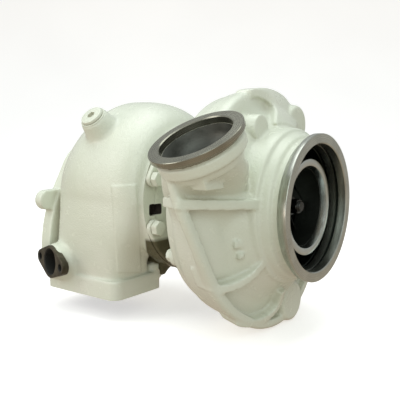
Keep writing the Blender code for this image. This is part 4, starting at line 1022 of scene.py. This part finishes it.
nut = lathe("nut_flange", [(133.3, 6.8), (133.3, 10.6), (133.8, 11.2), (135.0, 11.2), (135.6, 10.6), (135.6, 6.8)], 64, ring=True)
hex_rings = []
for h, r, trim in ((135.5, 9.4, 9.0), (136.2, 9.4, 99), (143.6, 9.4, 99), (144.6, 9.4, 8.9), (145.4, 9.4, 8.0)):
    ring = []
    for k in range(48):
        t = 2 * math.pi * k / 48
        q = t % (math.pi / 3) - math.pi / 6
        ring.append((h, *(np.array((math.cos(t), math.sin(t))) * min(r * math.cos(math.pi / 6) / math.cos(q), trim))))
    hex_rings.append(np.array(ring))
inner = [np.array([(h, 6.8 * math.cos(2 * math.pi * k / 48), 6.8 * math.sin(2 * math.pi * k / 48)) for k in range(48)]) for h in (145.4, 135.5)]
nut = painted(gathered("nut", [nut, loft("hex", hex_rings + inner, closed=True)]), NUT_STEEL)
done(nut, "impeller_nut", "rotor", ["compressor_nut"], 28.0)

turbine_hub = [(-104, 13.2), (-90, 19), (-76, 28), (-62, 39.6), (-50.8, 49.2)]
turbine_tip = [(-105.5, 46.2), (-93, 46.2), (-82, 46.3), (-74.8, 48.6), (-70, 50.4)]
threads = []
x = 136.0
while x < 146.6:
    threads += [(x, 6.45), (x + 0.55, 5.95)]
    x += 1.1
rotor = gathered("rotor", [
    lathe("shaft", [
        (-108, 0.2), (-108, 9.2), (-107.2, 10.6), (-106.5, 12), (-100, 14.6), (-88, 20), (-76, 28), (-64, 38), (-54, 46.5), (-50, 50), (-45.5, 50), (-44.5, 40), (-44.5, 15),
        (-34, 15), (-34, 12.6), (-32, 12.6), (-32, 15), (-27.5, 15), (-26, 8), (31.6, 8), (31.6, 6.5), (135, 6.5), *threads, (147.3, 6.4), (148.3, 5.5), (148.3, 0.2),
    ], 96),
    lathe("nose", [(-107.5, 8.6), (-112.6, 8.6), (-113.6, 7.6)], 6),
    *[vane("vane", turbine_hub, turbine_tip, (46, 25, 11, 3, 0), 360.0 / 11 * k, 3.0, 1.6) for k in range(11)],
])
painted(rotor, HOT_ALLOY).data.materials.append(NUT_STEEL)
for face in rotor.data.polygons:
    if face.center.x > SHAFT[0] + 100 * MM:
        face.material_index = 1
done(rotor, "turbine_rotor", "rotor", ["turbine_wheel_shaft"], 40.0)

# ---------------------------------------------------------------- carried-over inner pieces

KEEP = {
    "bearing_spacer": TURNED, "oil_baffle": TURNED, "oil_seal_plate": TURNED, "thrust_collar": TURNED, "oil_slinger": TURNED,
    "turbine_piston_ring": SPRING, "compressor_piston_ring": SPRING, "bearing_retainer_turbine": SPRING, "bearing_retainer_compressor": SPRING,
    "seal_plate_retaining_ring": SPRING, "journal_bearing_turbine": BRONZE, "journal_bearing_compressor": BRONZE, "thrust_bearing": BRONZE,
    "backplate_o_ring": RUBBER, "seal_plate_o_ring": RUBBER, "heat_shield": HOT_ALLOY,
}
for name, material in KEEP.items():
    NODES[name].data.materials.clear()
    NODES[name].data.materials.append(material)

# ---------------------------------------------------------------- floor, light

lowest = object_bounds()[0].z


def pale(name, low, high):
    k = Look(name)
    k.colour(k.ramp(k.noise(1.3, 2.0), [(0.35, low), (0.65, high)]))
    k.set(Roughness=0.9, Specular_IOR_Level=0.1, Emission_Color=(1.0, 1.0, 1.0, 1.0), Emission_Strength=0.48)
    return k.mat


profile = [(-14.0, lowest), (1.6, lowest)]
for s in range(1, 13):
    t = math.radians(90 * s / 12)
    profile.append((1.6 + 1.6 * math.sin(t), lowest + 1.6 - 1.6 * math.cos(t)))
profile.append((3.2, 9.0))
facing = np.array((-CAM_BACK[0], -CAM_BACK[1], 0.0)) / math.hypot(CAM_BACK[0], CAM_BACK[1])
right = np.array((facing[1], -facing[0], 0.0))
middle = SHAFT * (1, 1, 0)
sweep = []
for reach in (-12.0, 12.0):
    sweep += [tuple(middle + facing * d + right * reach + np.array((0, 0, z))) for d, z in profile]
n = len(profile)
floor_mesh = bpy.data.meshes.new("studio_floor")
floor_mesh.from_pydata(sweep, [], [(i, i + 1, n + i + 1, n + i) for i in range(n - 1)])
floor_mesh.materials.append(pale("pale_floor", (0.86, 0.86, 0.86), (0.90, 0.90, 0.90)))
floor_mesh.shade_smooth()
floor = thing("studio_floor", floor_mesh)
floor.visible_diffuse = False
floor.visible_glossy = False


def softbox(name, where, toward, size, watts, colour=(1, 1, 1)):
    light = bpy.data.lights.new(name, "AREA")
    light.shape = "RECTANGLE"
    light.size, light.size_y = size
    light.energy = watts
    light.color = colour
    ob = bpy.data.objects.new(name, light)
    ob.location = where
    ob.rotation_mode = "QUATERNION"
    ob.rotation_quaternion = (Vector(toward) - Vector(where)).to_track_quat("-Z", "Y")
    scene.collection.objects.link(ob)
    return ob


centre = Vector((0.119, 0.062, 0.12))
softbox("key", centre + Vector((-0.66, -1.02, 0.56)), centre, (0.50, 1.20), 4.7, (1.0, 0.99, 0.97))
softbox("fill", centre + Vector((1.1, -1.1, 0.8)), centre, (1.4, 1.2), 7.9, (0.92, 1.0, 0.975))
softbox("low", centre + Vector((-0.55, -1.05, -0.06)), centre, (0.7, 0.16), 1.0, (1.0, 0.80, 0.70))
softbox("low_right", centre + Vector((0.85, -0.85, -0.05)), centre, (0.8, 0.16), 0.8, (0.97, 1.0, 0.97))
softbox("top", centre + Vector((-0.1, 0.0, 1.6)), centre, (1.6, 1.6), 17.0, (0.955, 1.0, 0.98))

world = bpy.data.worlds.new("studio")
scene.world = world
world.use_nodes = True
background = next(n for n in world.node_tree.nodes if n.type == "BACKGROUND")
sky = world.node_tree.nodes.new("ShaderNodeTexCoord")
split = world.node_tree.nodes.new("ShaderNodeSeparateXYZ")
grade = world.node_tree.nodes.new("ShaderNodeValToRGB")
height = world.node_tree.nodes.new("ShaderNodeMapRange")
height.inputs["From Min"].default_value, height.inputs["From Max"].default_value = -1.0, 1.0
world.node_tree.links.new(sky.outputs["Generated"], split.inputs["Vector"])
world.node_tree.links.new(split.outputs["Z"], height.inputs["Value"])
world.node_tree.links.new(height.outputs["Result"], grade.inputs["Fac"])
world.node_tree.links.new(grade.outputs["Color"], background.inputs["Color"])
grade.color_ramp.elements[0].position, grade.color_ramp.elements[0].color = 0.30, (1.0, 0.84, 0.66, 1.0)
grade.color_ramp.elements[1].position, grade.color_ramp.elements[1].color = 0.62, (0.97, 1.0, 0.98, 1.0)
background.inputs["Strength"].default_value = 0.50
scene.view_settings.view_transform = "Standard"
